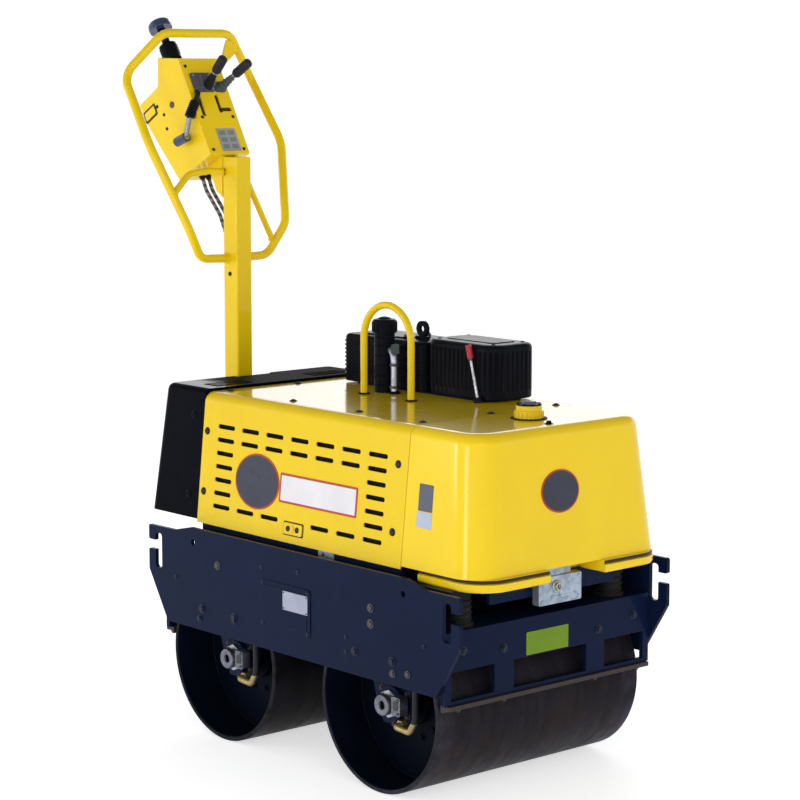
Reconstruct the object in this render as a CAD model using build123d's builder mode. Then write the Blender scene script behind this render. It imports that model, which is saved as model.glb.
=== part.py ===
from build123d import *
import os
from math import radians, tan, sin, cos, sqrt

os.makedirs("parts", exist_ok=True)

# Walk-behind double-drum roller. Millimetres. Origin on the ground, midway
# between the drums. +X away from the drawbar, +Y left, +Z up.

# ---- driving dimensions -------------------------------------------------
DRUM_R = 206.0          # drum outer radius
DRUM_W = 650.0          # drum width
DRUM_T = 12.0           # drum shell thickness
AXLE_X = 296.0          # drum axle, fore and aft of the origin
AXLE_Z = DRUM_R         # axle height
WEB_Y = 205.0           # middle of each drum end disc
AXLE_R = 20.0           # stub axle radius
RUN_FIT = 0.05          # radial running clearance of shafts

PLATE_IN = 330.5        # inner face of the side plates
PLATE_T = 10.0          # side plate thickness
PLATE_LOW = 270.0       # lower edge of the side plates
PLATE_TOP = 526.0       # upper edge in the middle
PLATE_END = 510.0       # upper edge at the ends
HOOK_X = 588.0          # tip of the lashing hooks

CROSS_X = 518.0         # inner face of the cross members
CROSS_T = 12.0
CROSS_LOW = 250.0
CROSS_TOP = 408.0
SHELF_T = 10.0

DECK_LOW = 500.0        # upper frame deck
DECK_T = 12.0

HOOD_LOW = 534.0        # lower edge of the side panels
HOOD_TOP = 861.0
HOOD_HALF = 307.0       # half width at HOOD_LOW
SIDE_TAPER = 0.10       # the sides lean in by this much per unit of height
FRONT_TAPER = 0.09
TANK_FRONT = 600.0      # front face at HOOD_LOW
TANK_REAR = 353.0
PANEL_REAR = -427.0
COVER_REAR = -631.0
COVER_TAPER = 0.083
SKIN = 3.0              # sheet thickness of the hood
EDGE_R = 28.0           # rounding between the hood's sides and top

COL_X = -650.0          # drawbar column
COL_DX = 60.0
COL_DY = 50.0
COL_TOP = 1436.0
PIVOT_Z = 660.0
PIN_R = 12.0
RING_TUBE = 11.5        # handle ring tube radius


def half_width(z):
    """Half width of the hood's outside at height z."""
    return HOOD_HALF - SIDE_TAPER * (z - HOOD_LOW)


def save(part, name):
    part.label = name
    export_step(part, "parts/" + name + ".step")


# ---- drums ---------------------------------------------------------------
def drum(ax, prefix):
    with BuildPart() as shell:
        with BuildSketch(Plane.XZ.offset(DRUM_W / 2)):
            with Locations((ax, AXLE_Z)):
                Circle(DRUM_R)
                Circle(DRUM_R - DRUM_T, mode=Mode.SUBTRACT)
        extrude(amount=-DRUM_W)
        rim = shell.edges().filter_by(GeomType.CIRCLE)
        chamfer(rim, 2.0)
    save(shell.part, prefix + "_drum_shell")

    # two end discs, each with a raised centre ring
    with BuildPart() as webs:
        for s in (-1, 1):
            y0 = s * WEB_Y
            with BuildSketch(Plane.XZ.offset(-(y0 - 6))):
                with Locations((ax, AXLE_Z)):
                    Circle(DRUM_R - DRUM_T)
                    Circle(AXLE_R, mode=Mode.SUBTRACT)
            extrude(amount=-12)
            yb = y0 + s * 6
            with BuildSketch(Plane.XZ.offset(-yb)):
                with Locations((ax, AXLE_Z)):
                    Circle(62)
                    Circle(AXLE_R, mode=Mode.SUBTRACT)
            extrude(amount=-s * 18)
    save(webs.part, prefix + "_drum_discs")

    with BuildPart() as axle:
        with BuildSketch(Plane.XZ.offset(286)):
            with Locations((ax, AXLE_Z)):
                Circle(AXLE_R)
        extrude(amount=-572)
        with BuildSketch(Plane.XZ.offset(WEB_Y - 6)):
            with Locations((ax, AXLE_Z)):
                Circle(48)
        extrude(amount=-2 * (WEB_Y - 6))
    save(axle.part, prefix + "_drum_axle")


drum(AXLE_X, "front")
drum(-AXLE_X, "rear")


# ---- carriers that hold the drum axles, in the drum ends -----------------
CAR_Y = 262.0
CAR_T = 12.0
BOSS_Y = 290.0
BUFFER_DX = 66.0
BUFFER_Z = 326.0


with BuildPart() as drum_carriers:
    for ax in (-AXLE_X, AXLE_X):
        for s in (-1, 1):
            with BuildSketch(Plane.XZ.offset(-s * CAR_Y)):
                with BuildLine():
                    Polyline((ax - 58, 180), (ax - 40, 152), (ax + 40, 152), (ax + 58, 180),
                             (ax + 96, 300), (ax + 96, 338), (ax + 78, 352), (ax - 78, 352),
                             (ax - 96, 338), (ax - 96, 300), close=True)
                make_face()
                with Locations((ax, AXLE_Z)):
                    Circle(AXLE_R + RUN_FIT, mode=Mode.SUBTRACT)
            extrude(amount=-s * CAR_T)
            with BuildSketch(Plane.XZ.offset(-s * (CAR_Y + CAR_T))):
                with Locations((ax, AXLE_Z)):
                    Circle(42)
                    Circle(AXLE_R + RUN_FIT, mode=Mode.SUBTRACT)
            extrude(amount=-s * (BOSS_Y - CAR_Y - CAR_T))
save(drum_carriers.part, "drum_carriers")

# bearing caps on the ends of the carriers' bosses
with BuildPart() as bearing_caps:
    for ax in (-AXLE_X, AXLE_X):
        for s in (-1, 1):
            with BuildSketch(Plane.XZ.offset(-s * BOSS_Y)):
                with Locations((ax, AXLE_Z)):
                    RegularPolygon(33, 8)
            extrude(amount=-s * 6)
            with BuildSketch(Plane.XZ.offset(-s * (BOSS_Y + 6))):
                with Locations((ax, AXLE_Z)):
                    Circle(25)
            extrude(amount=-s * 6)
            with BuildSketch(Plane.XZ.offset(-s * (BOSS_Y + 4))):
                with Locations((ax, AXLE_Z)):
                    Circle(9)
            extrude(amount=-s * 9, mode=Mode.SUBTRACT)
save(bearing_caps.part, "bearing_caps")

# round rubber buffers between the carriers and the side plates
with BuildPart() as drum_buffers:
    for ax in (-AXLE_X, AXLE_X):
        for s in (-1, 1):
            with BuildSketch(Plane.XZ.offset(-s * (CAR_Y + CAR_T))):
                with Locations((ax - BUFFER_DX, BUFFER_Z), (ax + BUFFER_DX, BUFFER_Z)):
                    Circle(24)
            extrude(amount=-s * (PLATE_IN - CAR_Y - CAR_T))
save(drum_buffers.part, "drum_buffers")

# brass unions and their short pipes on the right-hand carriers
with BuildPart() as hydraulic_fittings:
    for ax in (-AXLE_X, AXLE_X):
        with BuildSketch(Plane.XZ.offset(CAR_Y + CAR_T)):
            with Locations((ax + 34, 160)):
                RegularPolygon(13, 6)
        extrude(amount=16)
        with BuildLine() as pipe_path:
            FilletPolyline((ax + 34, -290, 160), (ax + 34, -303, 160), (ax + 84, -303, 156),
                           (ax + 104, -303, 190), (ax + 104, -303, 318),
                           (ax + 104, -PLATE_IN, 318), radius=[9, 14, 20, 14])
        with BuildSketch(Plane(origin=(ax + 34, -290, 160), z_dir=(0, -1, 0))):
            Circle(8)
        sweep(path=pipe_path.wires()[0])
save(hydraulic_fittings.part, "hydraulic_fittings")


# ---- lower frame -----------------------------------------------------------
def side_plate(y_far, name):
    """Side plate with an open lashing hook at each end. y_far: the face nearer -Y."""
    with BuildPart() as plate:
        with BuildSketch(Plane.XZ.offset(-y_far)):
            with BuildLine():
                Polyline((-510, PLATE_LOW), (510, PLATE_LOW), (HOOK_X, 395), (HOOK_X, PLATE_END),
                         (480, PLATE_END), (410, PLATE_TOP), (-410, PLATE_TOP),
                         (-480, PLATE_END), (-HOOK_X, PLATE_END), (-HOOK_X, 395), close=True)
            make_face()
            for s in (-1, 1):
                with Locations((s * 546, 447)):
                    RectangleRounded(28, 90, 9, mode=Mode.SUBTRACT)
                with Locations((s * 575, 460)):
                    Rectangle(46, 24, mode=Mode.SUBTRACT)
                with Locations((s * 399, 489)):
                    Circle(8, mode=Mode.SUBTRACT)
        extrude(amount=-PLATE_T)
        tips = plate.edges().filter_by(Axis.Y).filter_by(
            lambda e: abs(abs(e.center().X) - HOOK_X) < 0.5)
        fillet(tips, 6)
        low = plate.edges().filter_by(Axis.Y).filter_by(
            lambda e: abs(e.center().Z - PLATE_LOW) < 0.5)
        fillet(low, 14)
    save(plate.part, name)


side_plate(-PLATE_IN - PLATE_T, "side_plate_right")
side_plate(PLATE_IN, "side_plate_left")


def cross_member(s, name):
    """Cross member between the side plates: a windowed plate with a shelf on top."""
    x0 = s * CROSS_X
    with BuildPart() as cm:
        with BuildSketch(Plane.YZ.offset(x0)):
            with Locations((0, (CROSS_LOW + CROSS_TOP) / 2)):
                Rectangle(2 * PLATE_IN, CROSS_TOP - CROSS_LOW)
            with Locations((0, 293)):
                Rectangle(236, 66, mode=Mode.SUBTRACT)
            with Locations((-245, 293), (245, 293)):
                Rectangle(134, 66, mode=Mode.SUBTRACT)
        extrude(amount=s * CROSS_T)
        with BuildSketch(Plane.XY.offset(CROSS_TOP)):
            with Locations((s * 480, 0)):
                Rectangle(100, 2 * PLATE_IN)
        extrude(amount=SHELF_T)
    save(cm.part, name)


cross_member(1, "front_cross_member")
cross_member(-1, "rear_cross_member")


# scraper bars under the cross members, their edges short of the drums
with BuildPart() as scrapers:
    for s in (-1, 1):
        with BuildSketch(Plane.XZ.offset(324)):
            with BuildLine():
                Polyline((s * 508, 234), (s * 516, 234), (s * 520, 240), (s * 538, 240),
                         (s * 538, 250), (s * 508, 250), close=True)
            make_face()
        extrude(amount=-648)
save(scrapers.part, "scrapers")

# rubber mounts between the shelves and the upper frame
with BuildPart() as frame_mounts:
    with BuildSketch(Plane.XY.offset(CROSS_TOP + SHELF_T)):
        with Locations((478, 245), (478, -245), (-478, 128), (-478, -128)):
            Circle(30)
    extrude(amount=DECK_LOW - CROSS_TOP - SHELF_T)
    for z in (CROSS_TOP + SHELF_T, DECK_LOW - 8):
        with BuildSketch(Plane.XY.offset(z)):
            with Locations((478, 245), (478, -245), (-478, 128), (-478, -128)):
                Circle(36)
        extrude(amount=8)
save(frame_mounts.part, "frame_mounts")

# ---- upper frame -------------------------------------------------------------
with BuildPart() as upper_frame:
    with BuildSketch(Plane.XY.offset(DECK_LOW)):
        with BuildLine():
            Polyline((-430, -318), (535, -318), (535, 318), (-430, 318), (-430, 172), (-570, 172),
                     (-570, 62), (-592, 62), (-592, -62), (-570, -62), (-570, -172), (-430, -172),
                     close=True)
        make_face()
    extrude(amount=DECK_T)
    # pads that carry the rear cover
    with BuildSketch(Plane.XY.offset(DECK_LOW + DECK_T)):
        with Locations((-490, 140), (-490, -140)):
            Rectangle(70, 44)
    extrude(amount=29)
    # rails that carry the hood's sides
    with BuildSketch(Plane.XY.offset(DECK_LOW + DECK_T)):
        with Locations((-33, 292), (-33, -292)):
            Rectangle(760, 14)
    extrude(amount=44)
    # down-turned flanges along the deck's ends
    with BuildSketch(Plane.XY.offset(DECK_LOW - 34)):
        with Locations((529, 0)):
            Rectangle(12, 400)
        with Locations((-564, 0)):
            Rectangle(12, 330)
    extrude(amount=34)
save(upper_frame.part, "upper_frame")

# galvanised box bracket on the front edge of the deck, with a short tab on top
with BuildPart() as front_bracket:
    with BuildSketch(Plane.YZ.offset(535)):
        with Locations((4, 478)):
            RectangleRounded(138, 66, 5)
    extrude(amount=22)
    with BuildSketch(Plane.XY.offset(511)):
        with Locations((548, 4)):
            Rectangle(6, 76)
    extrude(amount=24)
    edges = front_bracket.edges().group_by(Axis.X)[-1]
    fillet(edges, 2)
save(front_bracket.part, "front_bracket")

# ---- tray under the tank: a lip, and above it a narrower neck -------------------------
TRAY_LIP, TRAY_NECK, NECK_IN = 19.0, 10.0, 5.0
with BuildPart() as tank_tray:
    for z0, h, inset in ((DECK_LOW + DECK_T, TRAY_LIP, 0), (DECK_LOW + DECK_T + TRAY_LIP, TRAY_NECK, NECK_IN)):
        with BuildSketch(Plane.XY.offset(z0)) as tray_sk:
            with Locations(((405 + 614 - inset) / 2, 0)):
                Rectangle(614 - inset - 405, 604 - 2 * inset)
            fillet(tray_sk.vertices().group_by(Axis.X)[-1], 82 - inset)
            with Locations((585, 4)):
                Rectangle(118, 176, mode=Mode.SUBTRACT)
        extrude(amount=h)
    edges = tank_tray.edges().group_by(Axis.Z)[0]
    chamfer(edges, 4)
save(tank_tray.part, "tank_tray")


# ---- hood -------------------------------------------------------------------
TANK_LOW = DECK_LOW + DECK_T + 29.0
with BuildPart() as water_tank:
    for z in (TANK_LOW, HOOD_TOP):
        xf = TANK_FRONT - FRONT_TAPER * (z - HOOD_LOW)
        hw = half_width(z)
        r = 72
        with BuildSketch(Plane.XY.offset(z)):
            with BuildLine():
                l1 = Line((TANK_REAR, -hw), (xf - r, -hw))
                a1 = RadiusArc((xf - r, -hw), (xf, -hw + r), -r)
                l2 = Line((xf, -hw + r), (xf, hw - r))
                a2 = RadiusArc((xf, hw - r), (xf - r, hw), -r)
                l3 = Line((xf - r, hw), (TANK_REAR, hw))
                l4 = Line((TANK_REAR, hw), (TANK_REAR, -hw))
            make_face()
    loft()
    top = water_tank.faces().sort_by(Axis.Z)[-1]
    ring = [e for e in top.edges() if e.center().X > TANK_REAR + 1]
    fillet(ring, EDGE_R)
    # recess for the filler neck
    with BuildSketch(Plane.XY.offset(HOOD_TOP - 12)):
        with Locations((440, 12)):
            Circle(30)
    extrude(amount=13, mode=Mode.SUBTRACT)
save(water_tank.part, "water_tank")

with BuildPart() as tank_cap:
    with BuildSketch(Plane.XY.offset(HOOD_TOP - 12)):
        with Locations((440, 12)):
            Circle(29)
    extrude(amount=12)
    with BuildSketch(Plane.XY.offset(HOOD_TOP)):
        with Locations((440, 12)):
            Circle(34)
    extrude(amount=20)
    with BuildSketch(Plane.XY.offset(HOOD_TOP + 20)):
        with Locations((440, 12)):
            Circle(31)
    extrude(amount=12)
    fillet(tank_cap.edges().group_by(Axis.Z)[-1], 4)
save(tank_cap.part, "tank_cap")

SEAM_Y = half_width(HOOD_TOP) - EDGE_R - 2   # seam between side panels and top cover
PX0, PX1 = PANEL_REAR + 1, TANK_REAR - 1.5


def side_panel(s, name):
    """Sloping sheet with vent slots, rolled over the top edge."""
    with BuildPart() as sp:
        hw0, hw1 = half_width(HOOD_LOW), half_width(HOOD_TOP)
        with BuildSketch(Plane.YZ.offset(PX0)):
            with BuildLine():
                FilletPolyline((s * hw0, HOOD_LOW), (s * hw1, HOOD_TOP), (s * SEAM_Y, HOOD_TOP),
                               radius=EDGE_R)
                Line((s * SEAM_Y, HOOD_TOP), (s * SEAM_Y, HOOD_TOP - SKIN))
                FilletPolyline((s * SEAM_Y, HOOD_TOP - SKIN), (s * (hw1 - SKIN), HOOD_TOP - SKIN),
                               (s * (hw0 - SKIN), HOOD_LOW), radius=EDGE_R - SKIN)
                Line((s * (hw0 - SKIN), HOOD_LOW), (s * hw0, HOOD_LOW))
            make_face()
        extrude(amount=PX1 - PX0)
        spots = []
        for r in range(7):
            for c in range(7):
                if r in (2, 3, 4, 5) and c not in (0, 6):
                    continue
                if r == 6 and c == 3:
                    continue
                spots.append((-331 + 96.2 * c, 782 - 33.1 * r))
        with BuildSketch(Plane.XZ.offset(-s * 250)):
            with Locations(*spots):
                SlotOverall(68, 11)
        extrude(amount=-s * 80, mode=Mode.SUBTRACT)
    save(sp.part, name)


side_panel(-1, "side_panel_right")
side_panel(1, "side_panel_left")

ENG_X0, ENG_X1, ENG_Y0, ENG_Y1 = -300.0, 168.0, 128.0, 232.0   # neck of the engine's top parts
BAIL_X0, BAIL_X1, BAIL_R = -136.0, 41.0, 9.0

with BuildPart() as top_cover:
    with BuildSketch(Plane.XY.offset(HOOD_TOP - SKIN)):
        with Locations(((PX0 + PX1) / 2, 0)):
            Rectangle(PX1 - PX0, 2 * SEAM_Y - 2)
        with Locations(((ENG_X0 + ENG_X1) / 2, (ENG_Y0 + ENG_Y1) / 2)):
            RectangleRounded(ENG_X1 - ENG_X0 + 12, ENG_Y1 - ENG_Y0 + 12, 10, mode=Mode.SUBTRACT)
        with Locations((BAIL_X0, 0), (BAIL_X1, 0)):
            Circle(BAIL_R + 2, mode=Mode.SUBTRACT)
    extrude(amount=SKIN)
save(top_cover.part, "top_cover")

with BuildPart() as rear_cover:
    for z in (541.0, 868.0):
        xr = COVER_REAR + COVER_TAPER * (z - 541)
        hw = half_width(z) - 1
        r = 26
        with BuildSketch(Plane.XY.offset(z)):
            with BuildLine():
                Line((PANEL_REAR - 1, -hw), (xr + r, -hw))
                RadiusArc((xr + r, -hw), (xr, -hw + r), r)
                Line((xr, -hw + r), (xr, hw - r))
                RadiusArc((xr, hw - r), (xr + r, hw), r)
                Line((xr + r, hw), (PANEL_REAR - 1, hw))
                Line((PANEL_REAR - 1, hw), (PANEL_REAR - 1, -hw))
            make_face()
    loft()
    top = rear_cover.faces().sort_by(Axis.Z)[-1]
    ring = [e for e in top.edges() if e.center().X < PANEL_REAR - 2]
    fillet(ring, 18)
    # notch for the drawbar bracket
    with BuildSketch(Plane.XY.offset(530)):
        with Locations((-612, 0)):
            Rectangle(76, 124)
    extrude(amount=345, mode=Mode.SUBTRACT)
save(rear_cover.part, "rear_cover")

# lifting bail: one bent tube standing on the deck
with BuildPart() as lifting_bail:
    zb = 1099.0 - BAIL_R - (BAIL_X1 - BAIL_X0) / 2
    with BuildLine() as bail_path:
        Line((BAIL_X0, 0, DECK_LOW + DECK_T), (BAIL_X0, 0, zb))
        ThreePointArc((BAIL_X0, 0, zb), ((BAIL_X0 + BAIL_X1) / 2, 0, 1099 - BAIL_R), (BAIL_X1, 0, zb))
        Line((BAIL_X1, 0, zb), (BAIL_X1, 0, DECK_LOW + DECK_T))
    with BuildSketch(Plane.XY.offset(DECK_LOW + DECK_T)):
        with Locations((BAIL_X0, 0)):
            Circle(BAIL_R)
    sweep(path=bail_path.wires()[0])
save(lifting_bail.part, "lifting_bail")

# ---- engine ---------------------------------------------------------------------
with BuildPart() as engine_block:
    with BuildSketch(Plane.XY.offset(DECK_LOW + DECK_T)):
        with Locations((-60, 132)):
            Rectangle(420, 216)
    extrude(amount=336)
save(engine_block.part, "engine_block")

# ribbed cowling at the right of the group
with BuildPart() as engine_cowling:
    with BuildSketch(Plane.XY.offset(848)):
        with Locations(((-38 + ENG_X1) / 2, (ENG_Y0 + ENG_Y1) / 2)):
            Rectangle(ENG_X1 + 38, ENG_Y1 - ENG_Y0)
    extrude(amount=18)
    with BuildSketch(Plane.XY.offset(866)):
        with Locations((86, 190)):
            RectangleRounded(256, 156, 44)
    extrude(amount=138)
    fillet(engine_cowling.edges().group_by(Axis.Z)[-1], 14)
save(engine_cowling.part, "engine_cowling")

# plain dark body beside it, with a lifting eye on top
with BuildPart() as engine_head_cover:
    with BuildSketch(Plane.XY.offset(848)):
        with Locations(((ENG_X0 - 46) / 2, (ENG_Y0 + ENG_Y1) / 2)):
            Rectangle(-46 - ENG_X0, ENG_Y1 - ENG_Y0)
    extrude(amount=18)
    with BuildSketch(Plane.XY.offset(866)):
        with Locations(((-360 - 44) / 2, 190)):
            RectangleRounded(316, 150, 26)
    extrude(amount=122)
    fillet(engine_head_cover.edges().group_by(Axis.Z)[-1], 12)
    with BuildSketch(Plane.XY.offset(988)):
        with Locations((-112, 175)):
            Rectangle(40, 12)
    extrude(amount=8)
    with BuildSketch(Plane.XZ.offset(-(175 - 5))):
        with Locations((-112, 1014)):
            Circle(20)
            Circle(9, mode=Mode.SUBTRACT)
    extrude(amount=-10)
save(engine_head_cover.part, "engine_head_cover")

# upright intake canister in front of it
CAN_X, CAN_Y = -134.0, 66.0
with BuildPart() as air_cleaner:
    with BuildSketch(Plane.XY.offset(HOOD_TOP)):
        with Locations((CAN_X, CAN_Y)):
            Circle(26)
    extrude(amount=150)
    with BuildSketch(Plane.XY.offset(HOOD_TOP + 150)):
        with Locations((CAN_X, CAN_Y)):
            Circle(31)
    extrude(amount=34)
    fillet(air_cleaner.edges().group_by(Axis.Z)[-1], 8)
save(air_cleaner.part, "air_cleaner")

# decompression lever: grey rod with a red grip
with BuildPart() as decompression_lever:
    with BuildLine() as rod_path:
        Polyline((170, 104, HOOD_TOP + 1.2), (142, 104, 966))
    with BuildSketch(Plane(origin=(170, 104, HOOD_TOP + 1.2), z_dir=(-28, 0, 103.8))):
        Circle(4)
    sweep(path=rod_path.wires()[0])
save(decompression_lever.part, "decompression_lever")
with BuildPart() as decompression_grip:
    with BuildSketch(Plane(origin=(142, 104, 966), z_dir=(-28, 0, 105))):
        Circle(8)
    extrude(amount=34)
    fillet(decompression_grip.edges().filter_by(GeomType.CIRCLE).sort_by(Axis.Z)[-1], 3)
save(decompression_grip.part, "decompression_grip")

# ---- drawbar bracket on the chassis ------------------------------------------------
CHEEK_IN = 30.5
CHEEK_T = 10.0
with BuildPart() as drawbar_bracket:
    with BuildSketch(Plane.YZ.offset(-592)):
        with Locations((0, 661)):
            Rectangle(110, 322)
    extrude(amount=-10)
    for s in (-1, 1):
        with BuildSketch(Plane.XZ.offset(-s * CHEEK_IN)):
            with BuildLine():
                Polyline((-602, 500), (-602, 700), (-640, 700), (-680, 680), (-686, 650),
                         (-674, 624), (-625, 500), close=True)
            make_face()
            with Locations((COL_X, PIVOT_Z)):
                Circle(PIN_R + 0.1, mode=Mode.SUBTRACT)
        extrude(amount=-s * CHEEK_T)
        # lips of the catch that guides the upright column
        with BuildSketch(Plane.XZ.offset(-s * 31.5)):
            with BuildLine():
                Polyline((-602, 742), (-602, 816), (-636, 816), (-648, 800), (-648, 764), (-636, 742),
                         close=True)
            make_face()
        extrude(amount=-s * 8)
save(drawbar_bracket.part, "drawbar_bracket")

with BuildPart() as drawbar_pin:
    with BuildSketch(Plane.XZ.offset(-50)):
        with Locations((COL_X, PIVOT_Z)):
            Circle(PIN_R)
    extrude(amount=100)
    with BuildSketch(Plane.XZ.offset(50)):
        with Locations((COL_X, PIVOT_Z)):
            RegularPolygon(20, 6)
    extrude(amount=9)
save(drawbar_pin.part, "drawbar_pin")

# ---- drawbar ------------------------------------------------------------------------
with BuildPart() as drawbar_column:
    with BuildSketch(Plane.XY.offset(694)):
        with Locations((COL_X, 0)):
            RectangleRounded(COL_DX, COL_DY, 6)
    extrude(amount=COL_TOP - 694)
    with BuildSketch(Plane.XZ.offset(COL_DY / 2)):
        with BuildLine():
            Polyline((COL_X - 28, PIVOT_Z), (COL_X + 28, PIVOT_Z), (COL_X + 28, 696), (COL_X - 28, 696), close=True)
        make_face()
        with Locations((COL_X, PIVOT_Z)):
            Circle(28)
    extrude(amount=-COL_DY)
    with BuildSketch(Plane.XZ.offset(COL_DY)):
        with Locations((COL_X, PIVOT_Z)):
            Circle(PIN_R + RUN_FIT)
    extrude(amount=-2 * COL_DY, mode=Mode.SUBTRACT)
    # gusset plates under the control head
    for s in (-1, 1):
        with BuildSketch(Plane.XZ.offset(-s * 17)):
            with BuildLine():
                Polyline((-678, 1330), (-678, 1439), (-680, 1441.4), (-740, 1409), (-706, 1345),
                         close=True)
            make_face()
        extrude(amount=-s * 8)
save(drawbar_column.part, "drawbar_column")

# control head, side profile in XZ
HEAD_W = 64.0
with BuildPart() as control_head:
    with BuildSketch(Plane.XZ.offset(HEAD_W)):
        with BuildLine():
            Polyline((-908, 1694), (-817, 1692), (-677, 1443), (-815, 1369), (-967, 1523),
                     (-994, 1566), (-910, 1617), close=True)
        make_face()
    extrude(amount=-2 * HEAD_W)
    fillet(control_head.edges().filter_by(Axis.Y), 4)
    # a straight and a bent slot in the panel face for the levers
    panel = Plane(origin=(-817, 0, 1692), x_dir=(0, 1, 0), z_dir=(249, 0, 140))
    with BuildSketch(panel):
        with Locations((-40, -120)):
            SlotOverall(104, 12, rotation=90)
        with Locations((18, -136)):
            SlotOverall(54, 12, rotation=90)
        with Locations((33, -153)):
            SlotOverall(42, 12)
    extrude(amount=-18, mode=Mode.SUBTRACT)
save(control_head.part, "control_head")


# handle ring, symmetric about the middle plane, its ends on the column's sides
RING = [(-664, 25, 1170), (-664, 110, 1173), (-648, 160, 1256), (-737, 218, 1470),
        (-862, 207, 1648), (-820, 110, 1758)]
RING_BENDS = [40, 60, 150, 60, 50]
with BuildPart() as handle_ring:
    with BuildLine() as ring_path:
        FilletPolyline(*RING, *[(x, -y, z) for x, y, z in reversed(RING)],
                       radius=RING_BENDS + RING_BENDS[::-1])
    with BuildSketch(Plane(origin=RING[0], z_dir=(0, 1, 3 / 85))):
        Circle(RING_TUBE)
    sweep(path=ring_path.wires()[0])
save(handle_ring.part, "handle_ring")

# braces of the ring: a curved strut on the right, a straight one on the left,
# and a plate between the head and the ring's upper corner
with BuildPart() as handle_braces:
    with BuildLine() as curved_path:
        FilletPolyline((-683, -183, 1340), (-700, -120, 1392), (-690, -60, 1400), (-672, -26, 1396),
                       radius=[40, 30])
    with BuildSketch(Plane(origin=(-683, -183, 1340), z_dir=(-17, 63, 52))):
        Circle(9)
    sweep(path=curved_path.wires()[0])
    with BuildLine() as straight_path:
        Line((-660, 26, 1400), (-659, 127, 1206))
    with BuildSketch(Plane(origin=(-660, 26, 1400), z_dir=(1, 101, -194))):
        Circle(8)
    sweep(path=straight_path.wires()[0])
    with BuildSketch(Plane.YZ.offset(-828)):
        with BuildLine():
            Polyline((64, 1646), (64, 1676), (88, 1700), (101, 1741), (134, 1735), (137, 1713),
                     (96, 1680), (76, 1650), close=True)
        make_face()
    extrude(amount=8)
save(handle_braces.part, "handle_braces")

# ---- controls -------------------------------------------------------------------------
AXIS = Vector(-0.55, 0, 0.835).normalized()
base_c = Vector(-872, -42, 1692)
with BuildPart() as stop_button_base:
    with BuildSketch(Plane(origin=base_c - AXIS * 6, z_dir=AXIS)):
        Circle(24)
    extrude(amount=46)
    with BuildSketch(Plane(origin=base_c + AXIS * 40, z_dir=AXIS)):
        Circle(11)
    extrude(amount=50)
    with BuildSketch(Plane.XZ.offset(HEAD_W + 20)):
        with BuildLine():
            Polyline((-930, 1640), (-780, 1640), (-780, 1691.9), (-817, 1692), (-908, 1694), (-930, 1694), close=True)
        make_face()
    extrude(amount=-2 * HEAD_W - 40, mode=Mode.SUBTRACT)
save(stop_button_base.part, "stop_button_base")
with BuildPart() as stop_button:
    with BuildSketch(Plane(origin=base_c + AXIS * 90, z_dir=AXIS)):
        Circle(31)
    extrude(amount=24)
    fillet(stop_button.edges().filter_by(GeomType.CIRCLE).sort_by(Axis(base_c, AXIS))[-1], 8)
save(stop_button.part, "stop_button")

# two travel levers through the panel's slots, and their grips
NRM = Vector(249, 0, 140).normalized()
with BuildPart() as travel_levers:
    for a, b in (((-776, 0, 1618), (-738, 0, 1657)), ((-776, 40, 1612), (-716, 48, 1650))):
        a, b = Vector(*a), Vector(*b)
        with BuildLine() as lp:
            Line(tuple(a), tuple(b))
        with BuildSketch(Plane(origin=a, z_dir=b - a)):
            Circle(5)
        sweep(path=lp.wires()[0])
save(travel_levers.part, "travel_levers")
with BuildPart() as lever_grips:
    for a, b in (((-738, 0, 1657), (-700, 0, 1696)), ((-716, 48, 1650), (-662, 55, 1684))):
        a, b = Vector(*a), Vector(*b)
        with BuildSketch(Plane(origin=a, z_dir=b - a)):
            Circle(13)
        extrude(amount=(b - a).length)
save(lever_grips.part, "lever_grips")

# vibration lever: out of the straight slot and round the panel's right edge
with BuildPart() as vibration_lever:
    with BuildLine() as lever_path:
        FilletPolyline((-774, -38, 1606), (-748, -50, 1600), (-748, -80, 1540), (-756, -86, 1490),
                       radius=[14, 30])
    with BuildSketch(Plane(origin=(-774, -38, 1606), z_dir=(26, -12, -6))):
        Circle(7)
    sweep(path=lever_path.wires()[0])
    # thick boot round the lever's upper part
    with BuildSketch(Plane(origin=(-747.9, -60, 1580), z_dir=(0, -30, -60))):
        Circle(12)
    extrude(amount=46)
save(vibration_lever.part, "vibration_lever")
with BuildPart() as vibration_knob:
    with BuildSketch(Plane(origin=(-752, -86, 1488), z_dir=(-30, -1.5, -11))):
        Circle(13)
    extrude(amount=44)
save(vibration_knob.part, "vibration_knob")

# two control cables from the head into the column's back
with BuildPart() as control_cables:
    for y in (-10, 10):
        with BuildLine() as cp:
            FilletPolyline((-790, y, 1382), (-772, y, 1345), (-712, y, 1282), (-680.5, y, 1222), radius=50)
        with BuildSketch(Plane(origin=(-790, y, 1382), z_dir=(18, 0, -37))):
            Circle(5)
        sweep(path=cp.wires()[0])
save(control_cables.part, "control_cables")
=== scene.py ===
import bpy
import bmesh
import math
from mathutils import Vector, Matrix


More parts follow.
